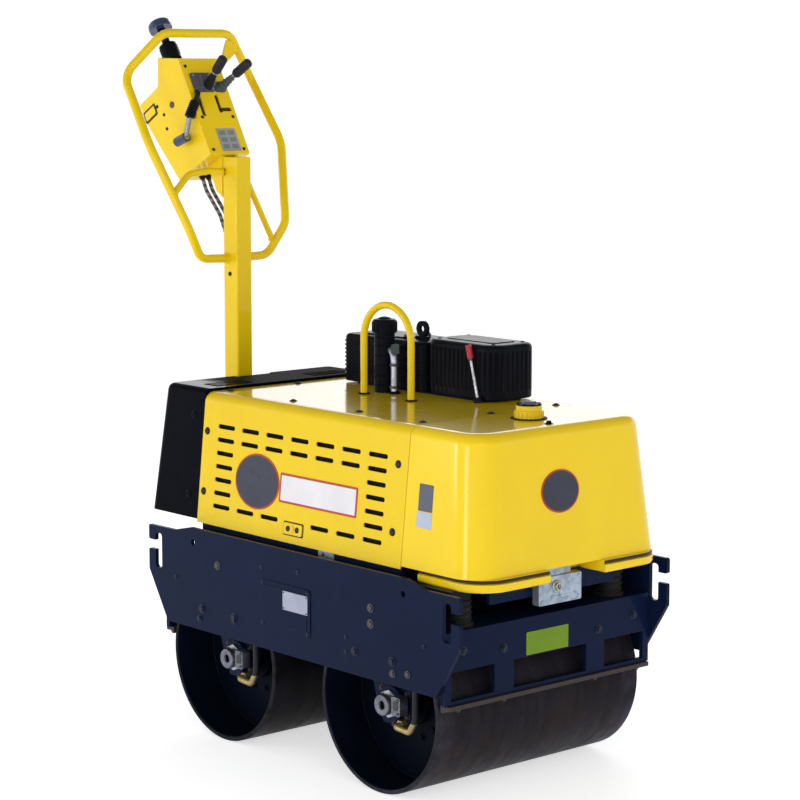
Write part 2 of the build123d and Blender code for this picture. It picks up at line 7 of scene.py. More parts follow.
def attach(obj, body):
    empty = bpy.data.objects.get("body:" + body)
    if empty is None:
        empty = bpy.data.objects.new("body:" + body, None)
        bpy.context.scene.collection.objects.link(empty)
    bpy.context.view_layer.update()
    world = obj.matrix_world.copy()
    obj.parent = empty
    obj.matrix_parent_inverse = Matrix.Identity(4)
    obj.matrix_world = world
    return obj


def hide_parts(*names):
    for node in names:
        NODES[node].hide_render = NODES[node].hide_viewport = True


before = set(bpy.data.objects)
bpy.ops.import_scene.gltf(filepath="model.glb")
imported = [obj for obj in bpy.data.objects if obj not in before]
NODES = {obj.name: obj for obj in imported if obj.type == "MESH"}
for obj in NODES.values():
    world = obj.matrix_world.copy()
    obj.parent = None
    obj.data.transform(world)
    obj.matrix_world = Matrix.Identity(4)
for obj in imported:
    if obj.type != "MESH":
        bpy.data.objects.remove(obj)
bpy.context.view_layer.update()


MM = 0.001

# =====================================================================
# materials
# =====================================================================


class Mat:
    """A procedural material. Coordinates are the object's own, in metres."""

    def __init__(self, name):
        self.mat = bpy.data.materials.new(name)
        self.mat.use_nodes = True
        self.t = self.mat.node_tree
        self.t.nodes.clear()
        out = self.t.nodes.new("ShaderNodeOutputMaterial")
        self.b = self.t.nodes.new("ShaderNodeBsdfPrincipled")
        self.t.links.new(self.b.outputs[0], out.inputs[0])
        self.co = self.t.nodes.new("ShaderNodeTexCoord").outputs["Object"]
        self.norm = None

    def node(self, kind, **props):
        n = self.t.nodes.new("ShaderNode" + kind)
        for k, v in props.items():
            setattr(n, k, v)
        return n

    def put(self, socket, value):
        if isinstance(value, bpy.types.NodeSocket):
            self.t.links.new(value, socket)
        elif isinstance(value, (tuple, list)) and len(value) == 3 and len(socket.default_value) == 4:
            socket.default_value = (*value, 1.0)
        else:
            socket.default_value = value

    def set(self, **inputs):
        for k, v in inputs.items():
            self.put(self.b.inputs[k.replace("_", " ").replace("Specular IOR", "Specular IOR")], v)

    def stretch(self, scale, loc=(0, 0, 0)):
        m = self.node("Mapping")
        m.inputs["Scale"].default_value = scale
        m.inputs["Location"].default_value = loc
        self.put(m.inputs["Vector"], self.co)
        return m.outputs[0]

    def noise(self, scale, detail=3.0, rough=0.55, co=None, distortion=0.0):
        n = self.node("TexNoise")
        n.inputs["Scale"].default_value = scale
        n.inputs["Detail"].default_value = detail
        n.inputs["Roughness"].default_value = rough
        n.inputs["Distortion"].default_value = distortion
        self.put(n.inputs["Vector"], co or self.co)
        return n.outputs[0]

    def voronoi(self, scale, co=None, output="Distance", feature="F1"):
        n = self.node("TexVoronoi", feature=feature)
        n.inputs["Scale"].default_value = scale
        self.put(n.inputs["Vector"], co or self.co)
        return n.outputs[output]

    def ramp(self, x, a, b, lo=0.0, hi=1.0):
        n = self.node("MapRange")
        n.inputs[1].default_value = a
        n.inputs[2].default_value = b
        n.inputs[3].default_value = lo
        n.inputs[4].default_value = hi
        self.put(n.inputs[0], x)
        return n.outputs[0]

    def op(self, kind, a, b=0.0, c=0.0):
        n = self.node("Math", operation=kind)
        self.put(n.inputs[0], a)
        self.put(n.inputs[1], b)
        if kind == "MULTIPLY_ADD":
            self.put(n.inputs[2], c)
        return n.outputs[0]

    def mix(self, fac, a, b):
        n = self.node("Mix", data_type="RGBA")
        self.put(n.inputs[0], fac)
        self.put(n.inputs[6], a)
        self.put(n.inputs[7], b)
        return n.outputs[2]

    def xyz(self):
        n = self.node("SeparateXYZ")
        self.put(n.inputs[0], self.co)
        return n.outputs[0], n.outputs[1], n.outputs[2]

    def facing_up(self):
        n = self.node("NewGeometry")
        s = self.node("SeparateXYZ")
        self.put(s.inputs[0], n.outputs["Normal"])
        return s.outputs[2]

    def edges(self, radius, lo=0.02, hi=0.16):
        """1 on sharp edges, 0 elsewhere."""
        bev = self.node("Bevel", samples=4)
        bev.inputs["Radius"].default_value = radius
        geo = self.node("NewGeometry")
        dot = self.node("VectorMath", operation="DOT_PRODUCT")
        self.put(dot.inputs[0], bev.outputs[0])
        self.put(dot.inputs[1], geo.outputs["Normal"])
        return self.ramp(self.op("SUBTRACT", 1.0, dot.outputs["Value"]), lo, hi)

    def soften(self, radius):
        bev = self.node("Bevel", samples=4)
        bev.inputs["Radius"].default_value = radius
        self.norm = bev.outputs[0]

    def bump(self, height, strength, distance):
        n = self.node("Bump")
        n.inputs["Strength"].default_value = strength
        n.inputs["Distance"].default_value = distance
        self.put(n.inputs["Height"], height)
        if self.norm is not None:
            self.put(n.inputs["Normal"], self.norm)
        self.norm = n.outputs[0]

    def done(self):
        if self.norm is not None:
            self.put(self.b.inputs["Normal"], self.norm)
        return self.mat


def paint(name, col, deep, under, rough=0.28, coat=1.0, peel=0.06, wear=0.55, wear_r=0.0022,
          dust=0.25, dust_col=(0.30, 0.27, 0.22), dust_top=0.55, soft=0.0016, mottle=0.35, spec=0.2, coat_ior=1.24,
          coat_rough=0.09):
    """Sprayed or moulded colour: slow shade changes, fine peel, scuffs, chipped edges, dust low down."""
    m = Mat(name)
    m.soften(soft)
    slow = m.ramp(m.noise(2.2, 3.0), 0.30, 0.72)
    patch = m.ramp(m.noise(17.0, 4.0, 0.6), 0.35, 0.80)
    c = m.mix(m.op("MULTIPLY", slow, mottle), col, deep)
    c = m.mix(m.op("MULTIPLY", patch, mottle * 0.35), c, deep)
    # fine handling scratches, long in X and in Z
    s1 = m.noise(60.0, 2.0, 0.5, m.stretch((0.25, 1.0, 6.0)))
    s2 = m.noise(48.0, 2.0, 0.5, m.stretch((5.0, 1.0, 0.3), (3.0, 1.0, 2.0)))
    scratch = m.op("MAXIMUM", m.ramp(s1, 0.71, 0.76), m.ramp(s2, 0.73, 0.78))
    c = m.mix(m.op("MULTIPLY", scratch, 0.16), c, deep)
    # dust on low and upward faces
    _, _, z = m.xyz()
    low = m.ramp(z, dust_top, 0.12, 0.0, 1.0)
    film = m.ramp(m.noise(9.0, 5.0, 0.65), 0.38, 0.75)
    up = m.ramp(m.facing_up(), 0.3, 1.0, 0.0, 0.5)
    d = m.op("MULTIPLY", m.op("ADD", m.op("MULTIPLY", low, film), m.op("MULTIPLY", up, m.op("MULTIPLY", film, low))), dust)
    c = m.mix(d, c, dust_col)
    # chipped edges
    chips = m.ramp(m.noise(85.0, 4.0, 0.7), 0.50, 0.62)
    e = m.op("MULTIPLY", m.op("MULTIPLY", m.edges(wear_r), chips), wear)
    c = m.mix(e, c, under)
    m.set(Base_Color=c)
    r = m.op("ADD", m.op("MULTIPLY", m.noise(34.0, 3.0), 0.10), rough - 0.05)
    r = m.op("ADD", r, m.op("MULTIPLY", d, 0.9))
    r = m.op("ADD", r, m.op("MULTIPLY", scratch, 0.10))
    m.set(Roughness=r)
    m.b.inputs["Specular IOR Level"].default_value = spec
    m.b.inputs["Coat Weight"].default_value = coat
    m.b.inputs["Coat IOR"].default_value = coat_ior
    m.b.inputs["Coat Roughness"].default_value = coat_rough
    m.bump(m.noise(420.0, 2.0, 0.5), peel, 0.0006)
    m.bump(e, 0.25, 0.0008)
    return m.done()


def metal(name, col, dark, rough=0.35, brushed=None, stain=0.35, stain_col=(0.10, 0.07, 0.05), metallic=1.0,
          scale=60.0, edge_col=None, bump=0.12):
    m = Mat(name)
    m.soften(0.0008)
    co = m.stretch(brushed) if brushed else None
    grain = m.noise(scale * 4, 3.0, 0.6, co)
    c = m.mix(m.ramp(grain, 0.3, 0.7), col, dark)
    s = m.op("MULTIPLY", m.ramp(m.noise(scale * 0.5, 5.0, 0.65), 0.45, 0.75), stain)
    c = m.mix(s, c, stain_col)
    if edge_col:
        c = m.mix(m.op("MULTIPLY", m.edges(0.0012), 0.7), c, edge_col)
    m.set(Base_Color=c)
    m.set(Roughness=m.op("ADD", m.op("MULTIPLY", m.ramp(grain, 0.2, 0.8), 0.16), m.op("MULTIPLY_ADD", s, 0.35, rough - 0.08)))
    m.set(Metallic=m.op("MULTIPLY", m.op("SUBTRACT", 1.0, s), metallic))
    m.bump(grain, bump, 0.0004)
    return m.done()


def plastic(name, col, light, rough=0.35, grain=700.0, grain_bump=0.25, spec=0.2, coat=0.0, scuff=0.25, soft=0.0016,
            dust=0.12, dust_col=(0.22, 0.21, 0.19), coat_ior=1.22, coat_rough=0.10):
    m = Mat(name)
    m.soften(soft)
    c = m.mix(m.ramp(m.noise(5.0, 4.0), 0.3, 0.75, 0.0, 0.6), col, light)
    sc = m.ramp(m.noise(70.0, 3.0, 0.5, m.stretch((0.4, 1.0, 3.0))), 0.64, 0.74)
    c = m.mix(m.op("MULTIPLY", sc, scuff), c, light)
    up = m.ramp(m.facing_up(), 0.5, 1.0)
    d = m.op("MULTIPLY", m.op("MULTIPLY", up, m.ramp(m.noise(24.0, 5.0, 0.7), 0.40, 0.75)), dust)
    c = m.mix(d, c, dust_col)
    e = m.edges(0.0022)
    c = m.mix(m.op("MULTIPLY", e, 0.35), c, light)
    m.set(Base_Color=c)
    m.set(Roughness=m.op("ADD", m.op("MULTIPLY", m.noise(15.0, 4.0), 0.22), m.op("MULTIPLY_ADD", d, 0.8, rough - 0.11)))
    m.b.inputs["Specular IOR Level"].default_value = spec
    m.b.inputs["Coat Weight"].default_value = coat
    m.b.inputs["Coat IOR"].default_value = coat_ior
    m.b.inputs["Coat Roughness"].default_value = coat_rough
    m.bump(m.noise(grain, 2.0, 0.6), grain_bump, 0.0004)
    return m.done()


YELLOW = (0.800, 0.560, 0.004)
YELLOW_DEEP = (0.660, 0.440, 0.002)
NAVY = (0.0044, 0.0104, 0.0375)
NAVY_DEEP = (0.0034, 0.0074, 0.0240)

M = {}
M["yellow"] = paint("yellow_paint", YELLOW, YELLOW_DEEP, (0.25, 0.20, 0.13), rough=0.26, dust=0.10,
                    dust_top=0.75, wear=0.35, coat_rough=0.06, spec=0.08)
M["tank"] = paint("yellow_moulding", (0.850, 0.595, 0.006), (0.720, 0.480, 0.003), (0.80, 0.60, 0.10), rough=0.30,
                  peel=0.05, wear=0.20, wear_r=0.004, dust=0.08, dust_top=0.75, soft=0.003, coat_ior=1.28, coat_rough=0.12, spec=0.08)
M["navy"] = paint("navy_paint", NAVY, NAVY_DEEP, (0.060, 0.058, 0.062), rough=0.36, dust=0.22,
                  dust_col=(0.024, 0.025, 0.032), dust_top=0.45, wear=0.65, mottle=0.6, spec=0.02, coat=0.7, coat_ior=1.12,
                  coat_rough=0.16)
M["black_paint"] = paint("black_paint", (0.0060, 0.0062, 0.0085), (0.0035, 0.0036, 0.0050), (0.06, 0.055, 0.055), rough=0.38,
                         dust=0.25, dust_col=(0.045, 0.040, 0.034), wear=0.7, mottle=0.5, spec=0.03, coat=0.6, coat_ior=1.12)


def cover_plastic():
    """Black moulding, polished on the near side and matt with fine dust on the far side of the top."""
    m = Mat("black_cover_plastic")
    m.soften(0.003)
    c = m.mix(m.ramp(m.noise(5.0, 4.0), 0.3, 0.75), (0.0012, 0.0016, 0.0042), (0.0026, 0.0031, 0.0064))
    sc = m.ramp(m.noise(70.0, 3.0, 0.5, m.stretch((0.4, 1.0, 3.0))), 0.66, 0.74)
    c = m.mix(m.op("MULTIPLY", sc, 0.25), c, (0.012, 0.013, 0.017))
    c = m.mix(m.op("MULTIPLY", m.edges(0.0022), 0.35), c, (0.014, 0.015, 0.020))
    m.set(Base_Color=c)
    _, y, _ = m.xyz()
    up = m.ramp(m.facing_up(), 0.6, 0.95)
    worn = m.ramp(m.op("MULTIPLY_ADD", m.noise(9.0, 3.0), 0.10, y), -0.16, -0.06)
    side = m.ramp(m.noise(15.0, 4.0), 0.3, 0.7, 0.24, 0.36)
    top = m.ramp(worn, 0.0, 1.0, 0.07, 0.62)
    m.set(Roughness=m.op("ADD", m.op("MULTIPLY", up, top), m.op("MULTIPLY", m.op("SUBTRACT", 1.0, up), side)))
    m.b.inputs["Specular IOR Level"].default_value = 0.022
    m.bump(m.noise(520.0, 2.0, 0.6), 0.03, 0.0003)
    return m.done()


M["cover"] = cover_plastic()
M["black"] = plastic("black_plastic", (0.0030, 0.0036, 0.0068), (0.0080, 0.0088, 0.0135), rough=0.36, scuff=0.20, spec=0.03, coat=0.20,
                     coat_ior=1.14, coat_rough=0.16, dust=0.04)
M["rubber"] = plastic("rubber", (0.0065, 0.0065, 0.0075), (0.019, 0.0185, 0.019), rough=0.62, grain=900.0, grain_bump=0.4, spec=0.15,
                      dust=0.15)
M["grip"] = plastic("grip_rubber", (0.0075, 0.0085, 0.0140), (0.019, 0.020, 0.028), rough=0.45, grain=900.0, grain_bump=0.5, spec=0.25)
M["blue"] = plastic("blue_knob", (0.020, 0.034, 0.085), (0.05, 0.075, 0.15), rough=0.30, grain=300.0, grain_bump=0.08, coat=1.0, coat_ior=1.3)
M["red"] = plastic("red_grip", (0.36, 0.012, 0.022), (0.55, 0.04, 0.05), rough=0.35, grain=400.0, grain_bump=0.15, coat=1.0)
M["steel"] = metal("turned_steel", (0.46, 0.46, 0.47), (0.30, 0.30, 0.31), rough=0.32, edge_col=(0.7, 0.7, 0.7))
M["zinc"] = metal("zinc_bolts", (0.088, 0.092, 0.100), (0.052, 0.055, 0.060), rough=0.38, stain=0.55, stain_col=(0.035, 0.034, 0.036),
                  edge_col=(0.22, 0.22, 0.23))
M["navy_bolt"] = paint("painted_bolts", (0.0110, 0.0175, 0.0400), NAVY_DEEP, (0.11, 0.105, 0.10), rough=0.40, dust=0.3,
                       dust_col=(0.024, 0.025, 0.032), wear=0.9, wear_r=0.0012, mottle=0.4, spec=0.08, coat_ior=1.16, soft=0.0006)
M["dark_bolt"] = metal("dark_bolts", (0.062, 0.050, 0.046), (0.032, 0.027, 0.026), rough=0.45, stain=0.6, stain_col=(0.022, 0.015, 0.012),
                       edge_col=(0.15, 0.125, 0.11))
M["scraper"] = metal("scraper_steel", (0.030, 0.019, 0.014), (0.014, 0.012, 0.013), rough=0.55, metallic=0.3, stain=0.6,
                     stain_col=(0.060, 0.027, 0.010), edge_col=(0.07, 0.055, 0.045), bump=0.4)
M["pipe"] = metal("bright_pipe", (0.52, 0.52, 0.62), (0.36, 0.36, 0.46), rough=0.35, stain=0.25, stain_col=(0.16, 0.15, 0.20))
M["brass"] = metal("brass", (0.56, 0.44, 0.19), (0.40, 0.30, 0.12), rough=0.34, stain=0.35, stain_col=(0.12, 0.09, 0.05),
                   edge_col=(0.80, 0.70, 0.42))
M["alu"] = metal("cast_aluminium", (0.215, 0.222, 0.275), (0.120, 0.124, 0.160), rough=0.50, stain=0.50, stain_col=(0.036, 0.036, 0.048),
                 edge_col=(0.46, 0.46, 0.50))
M["iron"] = metal("engine_iron", (0.055, 0.055, 0.060), (0.030, 0.030, 0.033), rough=0.60, metallic=0.35, stain=0.5,
                  stain_col=(0.06, 0.045, 0.032), bump=0.5)


def galvanised():
    m = Mat("galvanised")
    m.soften(0.0015)
    cell = m.voronoi(90.0, output="Color")
    sep = m.node("SeparateColor")
    m.put(sep.inputs[0], cell)
    f = sep.outputs[0]
    c = m.mix(f, (0.36, 0.43, 0.53), (0.22, 0.27, 0.35))
    c = m.mix(m.op("MULTIPLY", m.ramp(m.noise(30.0, 5.0), 0.5, 0.8), 0.3), c, (0.55, 0.60, 0.66))
    m.set(Base_Color=c)
    m.set(Roughness=m.ramp(f, 0.0, 1.0, 0.30, 0.52))
    m.set(Metallic=m.ramp(m.noise(25.0, 3.0), 0.3, 0.8, 0.85, 0.55))
    m.bump(m.noise(160.0, 3.0), 0.10, 0.0005)
    return m.done()


M["galv"] = galvanised()


def drum_surface(name, cx, k=1.0):
    """Rolled steel: brown-grey, streaked round the drum, rust low on the shell, pale rims that are worn steel with a
    painted highlight.
    """
    m = Mat(name)
    m.soften(0.0015)
    x, y, z = m.xyz()
    ang = m.op("ARCTAN2", m.op("SUBTRACT", z, 0.206), m.op("SUBTRACT", x, cx))
    com = m.node("CombineXYZ")
    m.put(com.inputs[0], m.op("MULTIPLY", m.op("COSINE", ang), 0.5))
    m.put(com.inputs[1], m.op("MULTIPLY", y, 13.0))
    m.put(com.inputs[2], m.op("MULTIPLY", m.op("SINE", ang), 0.5))
    streak = m.noise(3.2, 5.0, 0.58, com.outputs[0])
    # k scales the steel's colours; below 1 it is painted shade
    c = m.mix(m.ramp(streak, 0.30, 0.72), (0.0082 * k, 0.0074 * k, 0.0120 * k), (0.0185 * k, 0.0160 * k, 0.0220 * k))
    blotch = m.ramp(m.noise(5.0, 5.0, 0.6), 0.44, 0.72)
    c = m.mix(m.op("MULTIPLY", blotch, 0.65), c, (0.0200 * k, 0.0128 * k, 0.0098 * k))
    # pale bluish band towards the rims: worn steel, with a painted highlight along the rims
    rim_wear_and_highlight = m.op("MULTIPLY", m.ramp(m.noise(11.0, 4.0, 0.6), 0.38, 0.66), m.ramp(m.op("ABSOLUTE", y), 0.262, 0.318))
    c = m.mix(m.op("MULTIPLY", rim_wear_and_highlight, 0.75), c, (0.052 * k, 0.050 * k, 0.075 * k))
    rust = m.op("MULTIPLY", m.ramp(m.noise(21.0, 6.0, 0.7), 0.56, 0.74), m.ramp(streak, 0.40, 0.62))
    c = m.mix(m.op("MULTIPLY", rust, 0.55), c, (0.060 * k, 0.026 * k, 0.012 * k))
    ay = m.op("ABSOLUTE", y)
    rim = m.ramp(ay, 0.3165, 0.3250)
    c = m.mix(m.op("MULTIPLY", rim, m.ramp(m.noise(40.0, 4.0), 0.35, 0.65)), c, (0.014, 0.015, 0.019))
    e = m.op("MULTIPLY", m.edges(0.003), m.ramp(m.noise(60.0, 3.0), 0.35, 0.60))
    c = m.mix(m.op("MULTIPLY", e, 0.50), c, (0.085, 0.080, 0.085))
    # inside of the shell stays dark and painted
    rr = m.op("SQRT", m.op("ADD", m.op("POWER", m.op("SUBTRACT", x, cx), 2.0), m.op("POWER", m.op("SUBTRACT", z, 0.206), 2.0)))
    inner = m.ramp(rr, 0.1965, 0.1955)
    c = m.mix(inner, c, m.mix(m.ramp(m.noise(13.0, 5.0), 0.3, 0.7), (0.0012, 0.0030, 0.0085), (0.0030, 0.0052, 0.0125)))
    m.set(Base_Color=c)
    m.set(Metallic=m.op("MULTIPLY", m.op("SUBTRACT", 1.0, inner), m.ramp(blotch, 0.0, 1.0, 0.14, 0.05)))
    m.b.inputs["Specular IOR Level"].default_value = 0.04
    m.set(Roughness=m.op("ADD", m.op("MULTIPLY", m.ramp(streak, 0.3, 0.7), -0.12), m.ramp(m.noise(30.0, 5.0), 0.2, 0.8, 0.46, 0.60)))
    pits = m.op("MULTIPLY", m.ramp(m.voronoi(150.0), 0.0, 0.25, 1.0, 0.0), m.ramp(m.noise(18.0, 3.0), 0.5, 0.7))
    m.bump(m.op("SUBTRACT", m.op("MULTIPLY", streak, 0.6), pits), 0.30, 0.0008)
    return m.done()


M["drum_front"] = drum_surface("drum_steel_front", 0.296)
# rear drum: the same steel with its colours scaled by 0.30, painted shade for the tread in shadow behind the front drum
M["drum_rear_painted_shade"] = drum_surface("drum_steel_rear_painted_shade", -0.296, 0.30)
M["drum_inside"] = paint("drum_inside_paint", (0.0016, 0.0036, 0.0100), (0.0010, 0.0022, 0.0060), (0.035, 0.032, 0.034), rough=0.5,
                         coat=0.3, coat_ior=1.12, coat_rough=0.3, dust=0.10, dust_col=(0.014, 0.014, 0.018), dust_top=0.35, wear=0.4, mottle=0.7, spec=0.03)


def sign(name, col, dark, rough=0.35, metallic=0.0, coat=0.3):
    """A blank plate or foil: nearly even, with slight fading, a few marks and a dirty rim."""
    m = Mat(name)
    m.soften(0.0006)
    c = m.mix(m.ramp(m.noise(14.0, 4.0), 0.35, 0.75, 0.0, 0.5), col, dark)
    mark = m.ramp(m.noise(120.0, 3.0, 0.6, m.stretch((0.5, 1.0, 2.0))), 0.66, 0.74)
    c = m.mix(m.op("MULTIPLY", mark, 0.25), c, dark)
    c = m.mix(m.op("MULTIPLY", m.edges(0.0012), 0.4), c, dark)
    m.set(Base_Color=c)
    m.set(Roughness=m.ramp(m.noise(40.0, 3.0), 0.2, 0.8, rough - 0.06, rough + 0.10))
    m.b.inputs["Metallic"].default_value = metallic
    m.b.inputs["Specular IOR Level"].default_value = 0.2
    m.b.inputs["Coat Weight"].default_value = coat
    m.b.inputs["Coat IOR"].default_value = 1.25
    m.bump(m.noise(300.0, 2.0), 0.05, 0.0003)
    return m.done()


M["white"] = sign("foil_white", (0.74, 0.72, 0.76), (0.58, 0.55, 0.60))
M["red_foil"] = sign("foil_red", (0.44, 0.050, 0.030), (0.33, 0.045, 0.025))
M["slate"] = sign("foil_slate", (0.034, 0.040, 0.064), (0.020, 0.024, 0.040), rough=0.30)
M["grey_blue"] = sign("foil_grey_blue", (0.085, 0.100, 0.135), (0.055, 0.065, 0.090))
M["light_blue"] = sign("foil_light_blue", (0.42, 0.48, 0.60), (0.33, 0.38, 0.50))
M["green"] = sign("foil_green", (0.140, 0.245, 0.006), (0.095, 0.175, 0.004), rough=0.4, coat=0.0)
M["silver"] = sign("plate_silver", (0.36, 0.38, 0.48), (0.22, 0.235, 0.32), rough=0.38, metallic=0.35, coat=0.0)
M["panel_plate"] = sign("plate_grey", (0.36, 0.38, 0.38), (0.24, 0.25, 0.25), rough=0.4, metallic=0.3, coat=0.0)
M["panel_mark"] = sign("plate_mark", (0.20, 0.22, 0.20), (0.13, 0.14, 0.12), rough=0.5, coat=0.0)
# dark brown foil, also used as painted shade: dark strips put where gaps and recesses are in shadow
M["dark_foil_and_shade"] = sign("foil_dark_and_painted_shade", (0.045, 0.026, 0.010), (0.026, 0.016, 0.008), coat=0.0)
M["gate_grey"] = sign("gate_grey", (0.095, 0.080, 0.115), (0.050, 0.043, 0.062), rough=0.5, coat=0.0)
M["boot_green"] = sign("boot_green", (0.060, 0.080, 0.085), (0.035, 0.048, 0.052), rough=0.5, coat=0.0)


def foam():
    m = Mat("sound_foam")
    v = m.voronoi(260.0)
    m.set(Base_Color=m.mix(m.ramp(v, 0.0, 0.6), (0.004, 0.004, 0.005), (0.010, 0.010, 0.011)))
    m.set(Roughness=m.ramp(v, 0.0, 0.6, 0.85, 1.0))
    m.b.inputs["Specular IOR Level"].default_value = 0.1
    m.bump(v, 0.6, 0.002)
    return m.done()


M["foam"] = foam()


def cable_jacket():
    """Cable with a spiral wrap, light and dark."""
    m = Mat("cable_wrap")
    _, _, z = m.xyz()
    band = m.op("SINE", m.op("MULTIPLY", z, 420.0))
    c = m.mix(m.ramp(band, -0.3, 0.3), (0.030, 0.034, 0.040), (0.20, 0.22, 0.23))
    c = m.mix(m.ramp(m.noise(40.0, 3.0), 0.45, 0.75, 0.0, 0.5), c, (0.05, 0.05, 0.045))
    m.set(Base_Color=c)
    m.set(Roughness=m.ramp(m.noise(90.0, 2.0), 0.2, 0.8, 0.40, 0.60))
    m.bump(band, 0.5, 0.0012)
    return m.done()


M["cable"] = cable_jacket()


def fitting():
    """Brass unions below, black pipe above."""
    m = Mat("brass_and_pipe")
    m.soften(0.0008)
    x, _, z = m.xyz()
    grain = m.noise(220.0, 3.0, 0.6)
    c = m.mix(m.ramp(grain, 0.3, 0.7), (0.46, 0.36, 0.16), (0.30, 0.22, 0.09))
    s = m.op("MULTIPLY", m.ramp(m.noise(38.0, 5.0, 0.65), 0.45, 0.75), 0.5)
    c = m.mix(s, c, (0.08, 0.06, 0.035))
    pipe = m.ramp(z, 0.1795, 0.1805)
    c = m.mix(pipe, c, m.mix(m.ramp(grain, 0.3, 0.7), (0.0055, 0.006, 0.009), (0.012, 0.012, 0.016)))
    m.set(Base_Color=c)
    m.set(Metallic=m.op("MULTIPLY", m.op("SUBTRACT", 1.0, pipe), m.ramp(s, 0.0, 0.5, 0.85, 0.35)))
    m.set(Roughness=m.ramp(grain, 0.2, 0.8, 0.34, 0.50))
    m.b.inputs["Specular IOR Level"].default_value = 0.2
    m.bump(grain, 0.15, 0.0004)
    return m.done()


M["fitting"] = fitting()


def lever_and_boot():
    """Bright rod below, black rubber round its upper part."""
    m = Mat("lever_and_boot")
    m.soften(0.0008)
    _, _, z = m.xyz()
    grain = m.noise(240.0, 3.0, 0.6)
    boot = m.ramp(z, 1.5365, 1.5375)
    c = m.mix(m.ramp(grain, 0.3, 0.7), (0.34, 0.36, 0.38), (0.20, 0.21, 0.23))
    c = m.mix(boot, c, m.mix(m.ramp(grain, 0.3, 0.7), (0.0060, 0.0065, 0.0100), (0.014, 0.015, 0.020)))
    m.set(Base_Color=c)
    m.set(Metallic=m.op("MULTIPLY", m.op("SUBTRACT", 1.0, boot), m.ramp(grain, 0.0, 1.0, 0.9, 0.7)))
    m.set(Roughness=m.ramp(grain, 0.2, 0.8, 0.30, 0.48))
    m.b.inputs["Specular IOR Level"].default_value = 0.2
    m.bump(grain, 0.12, 0.0004)
    return m.done()


M["lever"] = lever_and_boot()

# =====================================================================
# mesh helpers: every piece is built in the row frame, in metres
# =====================================================================


def basis(n, u=None):
    n = Vector(n).normalized()
    if u is None:
        u = Vector((0, 0, 1)) if abs(n.z) < 0.9 else Vector((1, 0, 0))
    u = Vector(u)
    u = (u - n * u.dot(n)).normalized()
    return u, n.cross(u), n


def rrect(w, h, r, k=5):
    """Rounded rectangle, counterclockwise, centred."""
    pts = []
    for cx, cy, a0 in ((w / 2 - r, h / 2 - r, 0), (-w / 2 + r, h / 2 - r, 90), (-w / 2 + r, -h / 2 + r, 180), (w / 2 - r, -h / 2 + r, 270)):
        for i in range(k + 1):
            a = math.radians(a0 + 90 * i / k)
            pts.append((cx + r * math.cos(a), cy + r * math.sin(a)))
    return pts


def oval(a, b, k=64):
    return [(a * math.cos(2 * math.pi * i / k), b * math.sin(2 * math.pi * i / k)) for i in range(k)]


